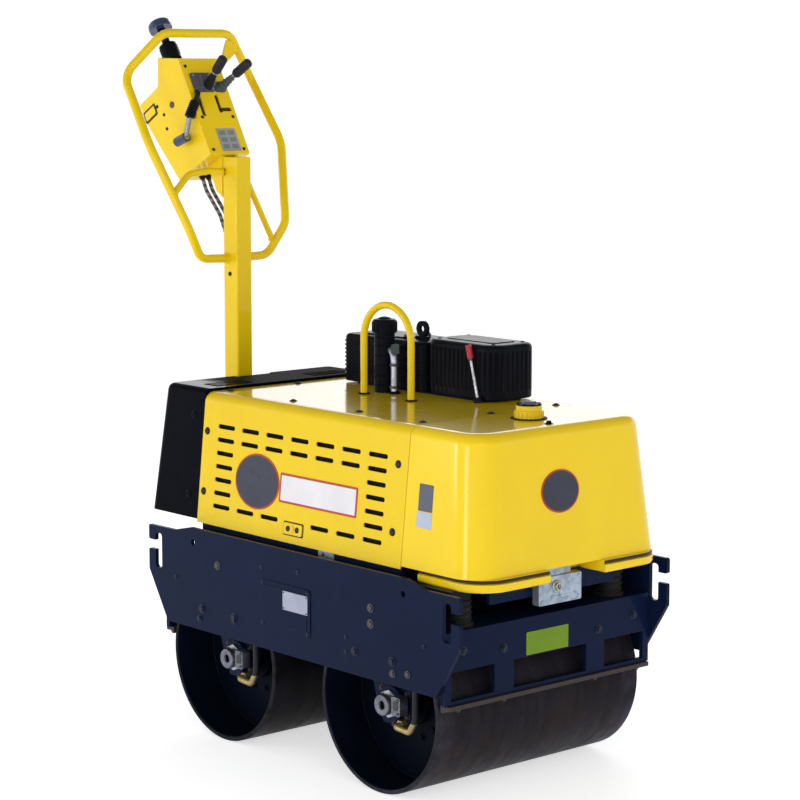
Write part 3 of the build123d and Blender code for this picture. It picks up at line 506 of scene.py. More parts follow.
class Piece:
    """Collects shapes for one object; lengths in millimetres."""

    def __init__(self, name, body, *mats):
        self.name, self.body, self.mats = name, body, mats
        self.bm = bmesh.new()

    def _bevel(self, faces, width, seg=2, angle=25):
        if width <= 0:
            return
        es = set()
        for f in faces:
            for e in f.edges:
                if len(e.link_faces) == 2 and e.calc_face_angle(0) > math.radians(angle):
                    es.add(e)
        bmesh.ops.bevel(self.bm, geom=list(es), offset=width * MM, segments=seg, affect="EDGES", profile=0.5, clamp_overlap=True)

    def prism(self, outline, o, n, depth, u=None, bevel=0.0, mat=0, seg=2, top=1.0):
        """outline in (u, v) millimetres, standing on point o, depth along n."""
        u, v, n = basis(n, u)
        o = Vector(o) * MM
        lo = [self.bm.verts.new(o + u * (a * MM) + v * (b * MM)) for a, b in outline]
        hi = [self.bm.verts.new(o + u * (a * top * MM) + v * (b * top * MM) + n * (depth * MM)) for a, b in outline]
        fs = [self.bm.faces.new(hi), self.bm.faces.new(list(reversed(lo)))]
        k = len(outline)
        for i in range(k):
            j = (i + 1) % k
            fs.append(self.bm.faces.new((lo[i], lo[j], hi[j], hi[i])))
        for f in fs:
            f.material_index = mat
        self._bevel(fs, bevel, seg)
        return self

    def lathe(self, profile, o, n, seg=32, mat=0, u=None):
        """profile: (radius, height) from the axis at the bottom, round, to the axis at the top."""
        u, v, n = basis(n, u)
        o = Vector(o) * MM
        rings = []
        for r, h in profile:
            c = o + n * (h * MM)
            if r < 1e-6:
                rings.append([self.bm.verts.new(c)])
            else:
                rings.append([self.bm.verts.new(c + (u * math.cos(2 * math.pi * i / seg) + v * math.sin(2 * math.pi * i / seg)) * (r * MM))
                              for i in range(seg)])
        for a, b in zip(rings, rings[1:]):
            for i in range(seg):
                j = (i + 1) % seg
                if len(a) == 1 and len(b) == 1:
                    continue
                if len(a) == 1:
                    f = self.bm.faces.new((a[0], b[j], b[i]))
                elif len(b) == 1:
                    f = self.bm.faces.new((a[i], a[j], b[0]))
                else:
                    f = self.bm.faces.new((a[i], a[j], b[j], b[i]))
                f.material_index = mat
        return self

    def hexbolt(self, p, n, af=13.0, h=6.0, washer=True, mat=0, spin=0.0):
        u, v, n = basis(n)
        u2 = u * math.cos(spin) + v * math.sin(spin)
        p = Vector(p)
        base = 0.0
        if washer:
            w = af * 0.84
            self.lathe([(0, 0), (w * 0.98, 0), (w, 0.5), (w * 0.98, 1.8), (w * 0.8, 2.0), (0, 2.0)], p, n, 24, mat)
            base = 1.9
        r = af / math.sqrt(3)
        six = [(r * math.cos(math.radians(60 * i)), r * math.sin(math.radians(60 * i))) for i in range(6)]
        self.prism(six, p + n * base, n, h, u2, bevel=0.9, mat=mat)
        return self

    def socket_screw(self, p, n, r=7.0, h=4.0, mat=0):
        """Button head with a round recess."""
        self.lathe([(0, 0), (r, 0), (r, h * 0.35), (r * 0.86, h * 0.78), (r * 0.62, h), (r * 0.42, h), (r * 0.40, h * 0.35), (0, h * 0.3)],
                   p, n, 24, mat)
        return self

    def tube(self, pts, r, seg=14, mat=0, caps=True, rs=None):
        """Tube along points, with radius r (or one radius per point)."""
        P = [Vector(p) * MM for p in pts]
        ring_prev = None
        first = None
        tan0 = (P[1] - P[0]).normalized()
        u, v, _ = basis(tan0)
        for i, p in enumerate(P):
            t = (P[min(i + 1, len(P) - 1)] - P[max(i - 1, 0)]).normalized()
            u = (u - t * u.dot(t)).normalized()
            v = t.cross(u)
            rad = (rs[i] if rs else r) * MM
            ring = [self.bm.verts.new(p + (u * math.cos(2 * math.pi * k / seg) + v * math.sin(2 * math.pi * k / seg)) * rad) for k in range(seg)]
            if ring_prev:
                for k in range(seg):
                    j = (k + 1) % seg
                    f = self.bm.faces.new((ring_prev[k], ring_prev[j], ring[j], ring[k]))
                    f.material_index = mat
            else:
                first = ring
            ring_prev = ring
        if caps:
            f = self.bm.faces.new(list(reversed(first)))
            f.material_index = mat
            f = self.bm.faces.new(ring_prev)
            f.material_index = mat
        return self

    def ring(self, o, n, R, r, seg=40, sub=10, mat=0, squash=1.0):
        """Torus about n."""
        u, v, n = basis(n)
        o = Vector(o) * MM
        rows = []
        for i in range(seg):
            a = 2 * math.pi * i / seg
            d = u * math.cos(a) + v * math.sin(a)
            rows.append([self.bm.verts.new(o + d * ((R + r * math.cos(2 * math.pi * k / sub)) * MM) + n * (r * squash * math.sin(2 * math.pi * k / sub) * MM))
                         for k in range(sub)])
        for i in range(seg):
            for k in range(sub):
                a, b = rows[i], rows[(i + 1) % seg]
                j = (k + 1) % sub
                f = self.bm.faces.new((a[k], b[k], b[j], a[j]))
                f.material_index = mat
        return self

    def bead(self, pts, r, mat=0, step=3.0):
        """Weld bead: overlapping ripples along a line."""
        P = [Vector(p) for p in pts]
        out, rs = [], []
        for a, b in zip(P, P[1:]):
            k = max(2, int((b - a).length / step * 2))
            for i in range(k):
                t = i / k
                out.append(a.lerp(b, t))
        out.append(P[-1])
        for i in range(len(out)):
            rs.append(r * (0.86 + 0.14 * (i % 2)) * (0.5 if i in (0, len(out) - 1) else 1.0))
        return self.tube(out, r, 8, mat, True, rs)

    def done(self, sharp=32):
        bmesh.ops.remove_doubles(self.bm, verts=self.bm.verts, dist=1e-7)
        bmesh.ops.recalc_face_normals(self.bm, faces=self.bm.faces)
        for f in self.bm.faces:
            f.smooth = True
        for e in self.bm.edges:
            if len(e.link_faces) == 2 and e.calc_face_angle(0) > math.radians(sharp):
                e.smooth = False
        mesh = bpy.data.meshes.new(self.name)
        self.bm.to_mesh(mesh)
        self.bm.free()
        for m in self.mats:
            mesh.materials.append(M[m])
        o = bpy.data.objects.new(self.name, mesh)
        bpy.context.scene.collection.objects.link(o)
        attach(o, self.body)
        return o


# ---- the hood's leaning faces -----------------------------------------
def half_width(z):
    return 307.0 - 0.10 * (z - 534.0)


def on_side(x, z, s, out=0.0):
    """Point on the hood's side face; s = -1 right, +1 left."""
    n = side_n(s)
    return Vector((x, s * half_width(z), z)) + n * out


def side_n(s):
    return Vector((0, s * 1.0, 0.10)).normalized()


def on_front(y, z, out=0.0):
    n = FRONT_N
    return Vector((600.0 - 0.09 * (z - 534.0), y, z)) + n * out


FRONT_N = Vector((1.0, 0, 0.09)).normalized()

# =====================================================================
# hood
# =====================================================================
for s, side in ((-1, "right"), (1, "left")):
    n = side_n(s)
    # ---- fasteners of the side panel
    p = Piece(f"panel_fasteners_{side}", "chassis", "dark_bolt", "rubber")
    for x, z in ((-430 + 22, 765), (-425 + 18, 614), (318, 770), (315, 614)):
        q = on_side(x, z, s)
        p.lathe([(0, 0), (9.5, 0), (9.5, 1.0), (8.4, 1.8), (0, 1.8)], q, n, 28, 1)
        p.socket_screw(q + n * 1.6, n, 7.0, 3.6, 0)
    p.done()
    # ---- latch between the slots of the lowest row
    p = Piece(f"panel_latch_{side}", "chassis", "yellow", "dark_bolt", "dark_foil_and_shade")
    q = on_side(-42, 569, s)
    up = Vector((1, 0, 0))
    p.prism(rrect(76, 34, 5), q, n, 0.9, up, bevel=0.3, mat=2)
    p.prism(rrect(70, 28, 5), q + n * 0.6, n, 2.4, up, bevel=0.9)
    for dx in (-17, 17):
        p.socket_screw(q + n * 2.9 + Vector((dx, 0, 0)), n, 7.0, 3.0, 1)
    p.prism(rrect(8, 18, 3), q + n * 2.9, n, 1.6, up, bevel=0.6)
    p.done()
    # ---- foam behind the slots
    p = Piece(f"panel_liner_{side}", "chassis", "foam")
    a = on_side(-34, 682, s, -9.5)
    p.prism(rrect(744, 268, 6), a, -n, 8.0, Vector((1, 0, 0)), bevel=1.0)
    p.done()
    # ---- blank foil with a red border, and a plain oval disc
    p = Piece(f"side_label_{side}", "chassis", "red_foil", "white")
    q = on_side(40, 663, s)
    p.prism(rrect(290, 72, 4), q, n, 0.6, Vector((1, 0, 0)), bevel=0.2)
    p.prism(rrect(278, 61, 2), q + n * 0.4, n, 0.6, Vector((1, 0, 0)), bevel=0.2, mat=1)
    p.done()
    p = Piece(f"side_disc_{side}", "chassis", "red_foil", "slate")
    q = on_side(-193, 665, s)
    p.prism(oval(86, 68), q, n, 1.6, Vector((1, 0, 0)), bevel=0.5)
    p.prism(oval(81.5, 63.5), q + n * 1.2, n, 1.2, Vector((1, 0, 0)), bevel=0.6, mat=1)
    p.done()

# stickers on the tank's right side, both blank
p = Piece("tank_stickers", "chassis", "grey_blue", "light_blue")
p.prism(rrect(47, 62, 2), on_side(420, 706, -1), side_n(-1), 0.6, Vector((1, 0, 0)), bevel=0.2)
p.prism(rrect(50, 36, 2), on_side(419, 655, -1), side_n(-1), 0.6, Vector((1, 0, 0)), bevel=0.2, mat=1)
p.done()

# plain oval disc on the tank's front
p = Piece("front_disc", "chassis", "red_foil", "slate")
p.prism(oval(60, 49.5), on_front(-28, 714), FRONT_N, 1.6, Vector((0, 1, 0)), bevel=0.5)
p.prism(oval(56, 45.5), on_front(-28, 714, 1.2), FRONT_N, 1.2, Vector((0, 1, 0)), bevel=0.6, mat=1)
p.done()

# filler cap: ribbed skirt, dark vented top
p = Piece("cap_details", "chassis", "tank", "black", "alu")
cx, cy = 440.0, 12.0
for i in range(20):
    a = 2 * math.pi * i / 20
    d = Vector((math.cos(a), math.sin(a), 0))
    p.prism(rrect(3.6, 15, 1.2, 3), Vector((cx, cy, 871)) + d * 33.2, d, 2.2, Vector((0, 0, 1)).cross(d), bevel=0.7)
p.lathe([(0, 0), (29.5, 0), (30.2, 1.0), (29.0, 3.0), (22, 4.6), (20, 3.2), (0, 3.0)], (cx, cy, 892.6), (0, 0, 1), 40, 1)
for i in range(8):
    a = 2 * math.pi * (i + 0.5) / 8
    p.prism(rrect(9, 4.0, 1.6, 3), (cx + 25 * math.cos(a), cy + 25 * math.sin(a), 895.0), (0, 0, 1), 2.6,
            Vector((math.cos(a), math.sin(a), 0)), bevel=0.7, mat=1)
p.prism(rrect(34, 11, 4, 4), (cx, cy, 895.2), (0, 0, 1), 6.0, Vector((0.75, 0.66, 0)), bevel=2.0, mat=2)
p.done()

# cap seat and a small breather in front of it
p = Piece("tank_top_details", "chassis", "rubber", "black", "dark_bolt")
p.lathe([(39, 0), (43, 0), (43.5, 1.2), (42, 2.6), (35, 2.6), (35, 0)], (cx, cy, 860.8), (0, 0, 1), 48, 0)
p.lathe([(0, 0), (11, 0), (11, 1.6), (7, 3.2), (5.5, 6.0), (5.5, 8.5), (0, 9)], (534, -16, 860.2), (0, 0, 1), 28, 1)
p.done()

# screws of the top cover
p = Piece("top_cover_screws", "chassis", "dark_bolt", "rubber")
for x, y in ((-400, -215), (-400, 215), (-150, -215), (-150, 222), (100, -215), (325, -215), (325, 0), (325, 215), (-400, 0)):
    if abs(y) < 300:
        p.lathe([(0, 0), (10, 0), (10, 0.8), (8.5, 1.5), (0, 1.5)], (x, y, 861), (0, 0, 1), 24, 1)
        p.socket_screw((x, y, 862.3), (0, 0, 1), 6.5, 3.2, 0)
p.done()

# rubber edging round the engine's opening, and the bail's grommets
p = Piece("hatch_edging", "chassis", "rubber")
x0, x1, y0, y1 = -300 - 6, 168 + 6, 128 - 6, 232 + 6
loop = [((x0 + x1) / 2 + a, (y0 + y1) / 2 + b) for a, b in rrect(x1 - x0, y1 - y0, 10, 6)]
pts = [(a, b, 861.2) for a, b in loop]
pts = pts + [pts[0]]
p.tube(pts, 3.4, 10, 0, True)
for bx in (-136, 41):
    p.lathe([(9.2, -4), (10.9, -4), (10.9, 0.2), (14.5, 0.4), (15.5, 1.4), (14.5, 3.0), (11, 4.0), (9.2, 4.0)], (bx, 0, 861), (0, 0, 1), 36, 0)
p.done()

# small clip showing under the right-hand side panel
p = Piece("panel_clips", "chassis", "galv", "zinc")
for s in (-1, 1):
    for x in (80,):
        p.prism(rrect(58, 20, 3), (x, s * 300.0, 527), (0, s, 0), 3.0, Vector((1, 0, 0)), bevel=0.8)
        p.socket_screw((x - 10, s * 303.0, 526), (0, s, 0), 4.5, 3.0, 1)
p.done()

# =====================================================================
# engine
# =====================================================================


def around(w, h, r, count):
    """Points evenly spaced round a rounded rectangle: (x, y, outward x, outward y, distance)."""
    pts = []
    straight_x, straight_y, arc = w - 2 * r, h - 2 * r, math.pi * r / 2
    total = 2 * (straight_x + straight_y) + 4 * arc
    segs = [("l", straight_x, (-straight_x / 2, -h / 2), (1, 0), (0, -1)), ("a", arc, (straight_x / 2, -straight_y / 2), -90, None),
            ("l", straight_y, (w / 2, -straight_y / 2), (0, 1), (1, 0)), ("a", arc, (straight_x / 2, straight_y / 2), 0, None),
            ("l", straight_x, (straight_x / 2, h / 2), (-1, 0), (0, 1)), ("a", arc, (-straight_x / 2, straight_y / 2), 90, None),
            ("l", straight_y, (-w / 2, straight_y / 2), (0, -1), (-1, 0)), ("a", arc, (-straight_x / 2, -straight_y / 2), 180, None)]
    for i in range(count):
        d = total * i / count
        rest = d
        for kind, length, c, a, nn in segs:
            if rest <= length + 1e-9:
                if kind == "l":
                    pts.append((c[0] + a[0] * rest, c[1] + a[1] * rest, nn[0], nn[1], d))
                else:
                    t = math.radians(a + 90 * rest / length)
                    pts.append((c[0] + r * math.cos(t), c[1] + r * math.sin(t), math.cos(t), math.sin(t), d))
                break
            rest -= length
    return pts, total


def ribbed_shell(name, node, cx, cy, w, h, r, levels, pitch, depth, mat, top_crown=3.0):
    """Moulded shell whose wall has upright grooves between two plain bands."""
    p = Piece(name, "chassis", mat)
    count = 520
    base, total = around(w, h, r, count)
    k = round(total / pitch)
    rings = []
    for z, inset, groove in levels:
        row = []
        for x, y, nx, ny, d in base:
            ph = (d / total * k) % 1.0
            g = 0.5 - 0.5 * math.cos(2 * math.pi * ph)
            g = max(0.0, (g - 0.55) / 0.45) ** 0.6
            off = inset + depth * groove * g
            row.append(p.bm.verts.new(Vector((cx + x - nx * off, cy + y - ny * off, z)) * MM))
        rings.append(row)
    for a, b in zip(rings, rings[1:]):
        for i in range(count):
            j = (i + 1) % count
            p.bm.faces.new((a[i], a[j], b[j], b[i]))
    # crowned lid: shrink the last ring towards the middle
    last = rings[-1]
    zl = levels[-1][0]
    prev = last
    for t in (0.985, 0.96, 0.90, 0.75, 0.5, 0.25):
        row = []
        for v in last:
            c = Vector((cx * MM, cy * MM, v.co.z))
            q = c + (v.co - c) * t
            q.z = (zl + top_crown * (1 - t ** 2)) * MM
            row.append(p.bm.verts.new(q))
        for i in range(count):
            j = (i + 1) % count
            p.bm.faces.new((prev[i], prev[j], row[j], row[i]))
        prev = row
    mid = p.bm.verts.new(Vector((cx, cy, zl + top_crown)) * MM)
    for i in range(count):
        p.bm.faces.new((prev[i], prev[(i + 1) % count], mid))
    bot = p.bm.verts.new(Vector((cx, cy, levels[0][0])) * MM)
    for i in range(count):
        p.bm.faces.new((rings[0][(i + 1) % count], rings[0][i], bot))
    return p


shell = ribbed_shell("cowling_shell", "engine_cowling", 86, 190, 255, 155, 44,
                     [(849, 26, 0), (866, 26, 0), (866.2, 2.5, 0), (868, 0.4, 0), (886, 0, 0), (889, 0, 0.7), (892, 0, 1), (978, 0, 1), (981, 0, 0.7),
                      (984, 0, 0), (991, 0.2, 0), (996, 2.5, 0), (999.3, 7, 0), (1000.8, 13, 0)], 15.5, 4.2, "black", 2.6)
# raised lid panel and screws
shell.prism(rrect(176, 84, 20, 8), (86, 190, 1002.2), (0, 0, 1), 1.5, Vector((1, 0, 0)), bevel=0.7)
o = shell.done(38)
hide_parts("engine_cowling")

p = Piece("cowling_screws", "chassis", "zinc")
for dx, dy in ((-104, -54), (104, -54), (-104, 54), (104, 54)):
    p.socket_screw((86 + dx * 0.93, 190 + dy * 0.9, 1001.6), (0, 0, 1), 5.0, 1.8)
p.done()

# fins, cover plate and bolts on the body beside it
p = Piece("engine_body_details", "chassis", "black", "dark_bolt", "black")
cxh, cyh = -202.0, 190.0
for i in range(9):
    z = 884 + i * 10.5
    p.prism(rrect(316 + 5, 150 + 5, 27, 6), (cxh, cyh, z), (0, 0, 1), 2.6, Vector((1, 0, 0)), bevel=0.8)
p.prism(rrect(180, 92, 12, 5), (cxh - 30, cyh, 987.5), (0, 0, 1), 4.5, Vector((1, 0, 0)), bevel=1.6, mat=2)
for dx, dy in ((-112, -38), (52, -38), (-112, 38), (52, 38)):
    p.hexbolt((cxh + dx, cyh + dy, 991.8), (0, 0, 1), 9, 4.5, True, 1)
p.done()

# intake canister: clamp bands, ribs on the cap, silver breather pipe beside it
p = Piece("canister_details", "chassis", "black", "pipe", "zinc", "boot_green")
CX, CY = -134.0, 66.0
for z in (880, 905, 930, 955, 980, 1000):
    p.ring((CX, CY, z), (0, 0, 1), 26.0, 1.7, 44, 8, 0, 1.4)
for i in range(18):
    a = 2 * math.pi * i / 18
    d = Vector((math.cos(a), math.sin(a), 0))
    p.prism(rrect(4, 24, 1.5, 3), Vector((CX, CY, 1026)) + d * 30.2, d, 2.2, Vector((0, 0, 1)).cross(d), bevel=0.7, mat=0)
p.lathe([(0, 0), (16, 0), (18, 1.5), (12, 4.5), (6, 6), (0, 6.5)], (CX, CY, 1044.6), (0, 0, 1), 32, 0)
BX, BY = CX + 44, CY - 6
p.tube([(BX, BY, 862), (BX, BY, 900), (BX, BY, 935), (BX - 2, BY, 952), (BX - 8, BY + 1, 963), (BX - 17, BY + 3, 968), (CX + 22, CY, 969)],
       9.0, 18, 1)
for z in (874, 930):
    p.lathe([(9.1, 0), (12, 0), (12, 7), (9.1, 7)], (BX, BY, z), (0, 0, 1), 28, 2)
p.lathe([(0, 0), (15, 0), (16, 2), (15, 5), (9, 7), (0, 7)], (BX, BY, 860.5), (0, 0, 1), 28, 0)
p.prism(rrect(24, 20, 3), (BX + 9, BY - 5, 974), Vector((0.75, -0.66, 0)), 6, Vector((0, 0, 1)), bevel=1.5, mat=3)
p.tube([(BX + 12, BY - 2, 974), (BX + 20, BY + 10, 982), (BX + 26, BY + 30, 990)], 5.0, 12, 0)
p.done()

# dark strip between the tank and its tray: painted shade standing in for the shadow in the gap under the tank's edge
def tray_ring(inset, z, notch=True):
    """Outline of the tray from its right rear corner round the front to the left, interrupted at the notch."""
    x1, hy, r = 614.0 - inset, 302.0 - inset, 82.0 - inset
    right = [(406, -hy, z), (430, -hy, z)] + [(406 + k * 25, -hy, z) for k in range(2, int((x1 - r - 406) / 25) + 1)]
    right += [(x1 - r + r * math.sin(math.radians(a)), -hy + r - r * math.cos(math.radians(a)), z) for a in range(0, 91, 6)]
    right += [(x1, y, z) for y in (-200, -160, -120, -86)]
    left = [(x, -y, z) for x, y, z in reversed(right)]
    left = [(x, max(y, 94), z) for x, y, z in left]
    return right, left


# painted shade: a dark tube laid where the gap under the tank is in shadow
p = Piece("tray_gap_shade_strip", "chassis", "dark_foil_and_shade")
for line in tray_ring(5.0, 535.8):
    p.tube(line, 3.9, 10, 0, True)
p.done()

# collar where the decompression rod leaves the hood
p = Piece("decompression_boot", "chassis", "rubber", "zinc")
p.lathe([(0, 0), (13, 0), (13.5, 1.5), (10, 4), (11, 6), (8, 8.5), (9, 10.5), (5, 13), (0, 13)], (169.7, 104, 861), (-0.2, 0, 1), 28, 0)
p.lathe([(0, 0), (6, 0), (6.5, 3), (6, 7), (0, 7)], (143, 104, 960.5), (-0.26, 0, 0.966), 24, 1)
p.done()

# =====================================================================
# rear cover
# =====================================================================
RC_N = Vector((-1, 0, 0.083)).normalized()


def on_rear(y, z, out=0.0):
    return Vector((-631.0 + 0.083 * (z - 541.0), y, z)) + RC_N * out


p = Piece("rear_cover_details", "chassis", "black", "dark_bolt", "cover")
for s in (-1, 1):
    # louvred vent each side of the notch
    p.prism(rrect(132, 104, 8), on_rear(s * 160, 690), RC_N, 2.0, Vector((0, 1, 0)), bevel=0.8)
    for i in range(7):
        q = on_rear(s * 160, 648 + 14 * i, 1.6)
        p.prism(rrect(114, 6.5, 2, 3), q, Vector((-1, 0, -0.35)), 4.2, Vector((0, 1, 0)), bevel=1.0, mat=0)
    for z in (575, 835):
        for y in (105, 238):
            q = on_rear(s * y, z)
            p.lathe([(0, 0), (10, 0), (10, 1), (8.5, 1.8), (0, 1.8)], q, RC_N, 24, 0)
            p.socket_screw(q + RC_N * 1.6, RC_N, 7.0, 3.6, 1)
    # screws on the sides
    for x, z in ((-470, 600), (-470, 800)):
        q = on_side(x, z, s, -1.0)
        p.lathe([(0, 0), (10, 0), (10, 1), (8.5, 1.8), (0, 1.8)], q, side_n(s), 24, 0)
        p.socket_screw(q + side_n(s) * 1.6, side_n(s), 7.0, 3.6, 0)
    # grip moulding along the top rear edge
    for i in range(5):
        p.prism(rrect(5, 120, 2, 3), (-505 + i * 12, s * 160, 867.6), (0, 0, 1), 1.8, Vector((1, 0, 0)), bevel=0.7, mat=2)
p.done()

# =====================================================================
# lower frame
# =====================================================================
p = Piece("side_plate_bolts", "chassis", "zinc", "navy_bolt", "navy")
for s in (-1, 1):
    yo = s * 340.5
    n = (0, s, 0)
    for x, z, af in ((287, 438, 13), (287, 401, 13), (-296, 446, 13), (364, 298, 11), (416, 306, 11)):
        p.hexbolt((x, yo, z), n, af, 3.8, True, 0, spin=0.3 * x)
    for x, z, af in ((-230, 318, 11), (-372, 300, 11)):
        p.hexbolt((x, yo, z), n, af, 3.8, True, 1, spin=0.3 * x)
    # bolts of the buffers, dark
    for ax in (-296, 296):
        for dx in (-66, 66):
            p.hexbolt((ax + dx, yo, 326), n, 14, 4.2, True, 1, spin=0.1 * dx)
    for x, z in ((198, 354), (198, 318), (-120, 470), (20, 478), (-473, 389), (470, 380)):
        p.socket_screw((x, yo, z), n, 5.5, 2.8, 1)
    # welds of the shelves, along the plates' inner faces
    for sx in (-1, 1):
        yi = s * 330.0
        p.bead([(sx * 432, yi, 408), (sx * 526, yi, 408)], 2.6, 2)
        p.bead([(sx * 432, yi, 418), (sx * 526, yi, 418)], 2.6, 2)
p.done()

# access cover with a blank silver plate on the right side
for s, side in ((-1, "right"), (1, "left")):
    p = Piece(f"access_cover_{side}", "chassis", "navy", "navy_bolt")
    q = Vector((-27, s * 340.5, 384))
    n = Vector((0, s, 0))
    p.prism(rrect(190, 116, 10, 6), q, n, 2.5, Vector((1, 0, 0)), bevel=0.9, mat=0)
    p.prism(rrect(166, 92, 5, 6), q + n * 2.4, n, 1.4, Vector((1, 0, 0)), bevel=0.6, mat=0)
    for dx in (-86, 86):
        for dz in (-49, 49):
            p.socket_screw(q + Vector((dx, 0, dz)) + n * 2.3, n, 5.0, 2.6, 1)
    p.done()
p = Piece("blank_plate", "chassis", "silver", "dark_bolt")
q = Vector((14, -344.2, 404))
p.prism(rrect(94, 46, 2, 3), q, (0, -1, 0), 1.0, Vector((1, 0, 0)), bevel=0.3)
for dx in (-43, 43):
    for dz in (-19, 19):
        p.lathe([(0, 0), (2.4, 0), (2.2, 0.8), (0, 1.2)], q + Vector((dx, -1.0, dz)), (0, -1, 0), 12, 1)
p.done()

# cross members: bolts, blank green plate, weld seams, edge stiffener
for s, end in ((1, "front"), (-1, "rear")):
    p = Piece(f"cross_member_details_{end}", "chassis", "navy_bolt", "navy", "dark_bolt")
    xo = s * 530.0
    n = (s, 0, 0)
    for y, z in ((-150, 358), (158, 354), (-276, 372), (276, 372)):
        p.hexbolt((xo, y, z), n, 13, 5.0, True, 0, spin=0.02 * y)
    for y, z in ((-60, 348), (90, 368)):
        if s < 0:
            p.hexbolt((xo, y, z), n, 13, 5.0, True, 2)
    for sy in (-1, 1):
        p.bead([(s * 519, sy * 330, 254), (s * 519, sy * 330, 404)], 2.8, 1)
        # small ribs under the shelf
        p.prism([(0, 0), (-52, 0), (0, -60)] if s > 0 else [(0, 0), (0, -60), (52, 0)], (s * 517.5, sy * 60 + 3, 407.5), (0, -1, 0), 6.0,
                Vector((1, 0, 0)), bevel=0.8, mat=1)
    # nuts on the scraper's bolts
    for y in (-290, -148, 148, 290):
        p.hexbolt((s * 527, y, 240), (0, 0, -1), 11, 5.0, True, 2)
    p.done()
p = Piece("green_plate", "chassis", "green")
p.prism(rrect(136, 54, 2, 3), (530.0, -11, 356), (1, 0, 0), 0.8, Vector((0, 1, 0)), bevel=0.3)
p.done()

# lock and rivets on the galvanised bracket
p = Piece("bracket_lock", "chassis", "steel", "galv", "dark_bolt")
p.lathe([(0, 0), (15, 0), (15, 2.5), (13, 4.0), (10, 4.2), (9.5, 8.5), (6, 9.0), (5.2, 6.0), (0, 5.8)], (556.8, -9, 486), (1, 0, 0), 36, 0)
p.prism(rrect(2.2, 9, 0.8, 2), (562.2, -9, 486), (1, 0, 0), 1.5, Vector((0, 1, 0)), mat=2)
for y in (-55, 63):
    for z in (454, 502):
        p.lathe([(0, 0), (4.5, 0), (4.0, 1.6), (2.0, 2.6), (0, 2.8)], (556.8, y, z), (1, 0, 0), 20, 1)
p.prism(rrect(60, 6, 1.5, 3), (556.6, 4, 462), (1, 0, 0), 1.6, Vector((0, 1, 0)), bevel=0.5, mat=1)
p.done()

# nuts and studs of the rubber mounts
p = Piece("mount_nuts", "chassis", "zinc", "steel")
for x, y in ((478, 245), (478, -245), (-478, 128), (-478, -128)):
    p.hexbolt((x, y, 512), (0, 0, 1), 19, 9.0, True, 0)
    p.lathe([(0, 0), (5, 0), (5, 6), (4, 7), (0, 7)], (x, y, 522), (0, 0, 1), 18, 1)
    p.hexbolt((x, y, 408), (0, 0, -1), 19, 9.0, True, 0)
p.done()

# ribs on the rubber of the mounts and the buffers
p = Piece("rubber_ribs", "chassis", "rubber")
for x, y in ((478, 245), (478, -245), (-478, 128), (-478, -128)):
    for z in (434, 448, 462, 476):
        p.ring((x, y, z), (0, 0, 1), 30.0, 3.0, 44, 8)
for ax in (-296, 296):
    for dx in (-66, 66):
        for s in (-1, 1):
            for y in (284, 296, 308, 320):
                p.ring((ax + dx, s * y, 326), (0, 1, 0), 23.8, 2.2, 36, 8)
p.done()

# hub covers with their port blocks on the right side, plain covers on the left
for ax, end in ((296, "front"), (-296, "rear")):
    p = Piece(f"hub_details_{end}", "chassis", "alu", "iron", "dark_bolt", "zinc")
    for s in (-1, 1):
        n = (0, s, 0)
        yc = s * 302.0
        if s < 0:
            p.lathe([(9.5, 0), (24.5, 0), (25.0, 1.0), (25.0, 13.0), (23.5, 15.5), (15, 16.0), (11, 14.0), (9.5, 10.0)], (ax, yc, 206), n, 48, 0)
            p.lathe([(0, 0), (9.6, 0), (9.6, 1.0), (0, 1.0)], (ax, yc, 206), n, 24, 1)
            p.prism(rrect(30, 44, 5, 5), (ax + 43, s * 286, 210), n, 25, Vector((1, 0, 0)), bevel=2.0, mat=0)
            p.prism(rrect(15, 22, 3, 5), (ax + 44, s * 310.5, 212), n, 2.4, Vector((1, 0, 0)), bevel=0.8, mat=1)
            for dz in (-16, 17):
                p.hexbolt((ax + 51, s * 311, 210 + dz), n, 6, 3.0, False, 3)
        for i in range(4):
            a = math.radians(45 + 90 * i)
            p.hexbolt((ax + 27.5 * math.cos(a), s * 296.0, 206 + 27.5 * math.sin(a)), n, 7, 3.6, False, 2)
        # bolts that hold the carrier plate's boss
        for i in range(6):
            a = math.radians(30 + 60 * i)
            p.hexbolt((ax + 52 * math.cos(a), s * 274.0, 206 + 52 * math.sin(a)), n, 10, 4.5, True, 2)
    p.done()

# bolts on the drums' discs: they turn with the drums
for ax, body in ((296, "front_drum"), (-296, "rear_drum")):
    p = Piece(f"{body}_bolts", body, "drum_inside", "drum_inside")
    for s in (-1, 1):
        for i in range(12):
            a = math.radians(30 * i + 15)
            p.hexbolt((ax + 92 * math.cos(a), s * 211.0, 206 + 92 * math.sin(a)), (0, s, 0), 13, 5.5, True, 0, spin=a)
        # weld between disc and shell, filler plug
        p.ring((ax, s * 211.5, 206), (0, 1, 0), 192.6, 3.6, 120, 8, 1)
        p.hexbolt((ax + 150, s * 211.0, 206), (0, s, 0), 22, 8.0, True, 0)
    p.done(50)

# =====================================================================
# drawbar
# =====================================================================
p = Piece("pivot_washers", "chassis", "zinc", "navy")
for s in (-1, 1):
    p.lathe([(12.2, 0), (22, 0), (22, 2.0), (12.2, 2.0)], (-650, s * 40.6, 660), (0, s, 0), 36, 0)
    p.bead([(-602.5, s * 30, 502), (-602.5, s * 30, 698)], 2.4, 1)
    p.bead([(-602.5, s * 41, 502), (-602.5, s * 41, 698)], 2.4, 1)
for y in (-46, 46):
    for z in (530, 600, 670, 740, 800):
        p.hexbolt((-602, y, z), (-1, 0, 0), 10, 4.5, True, 0)
p.done()

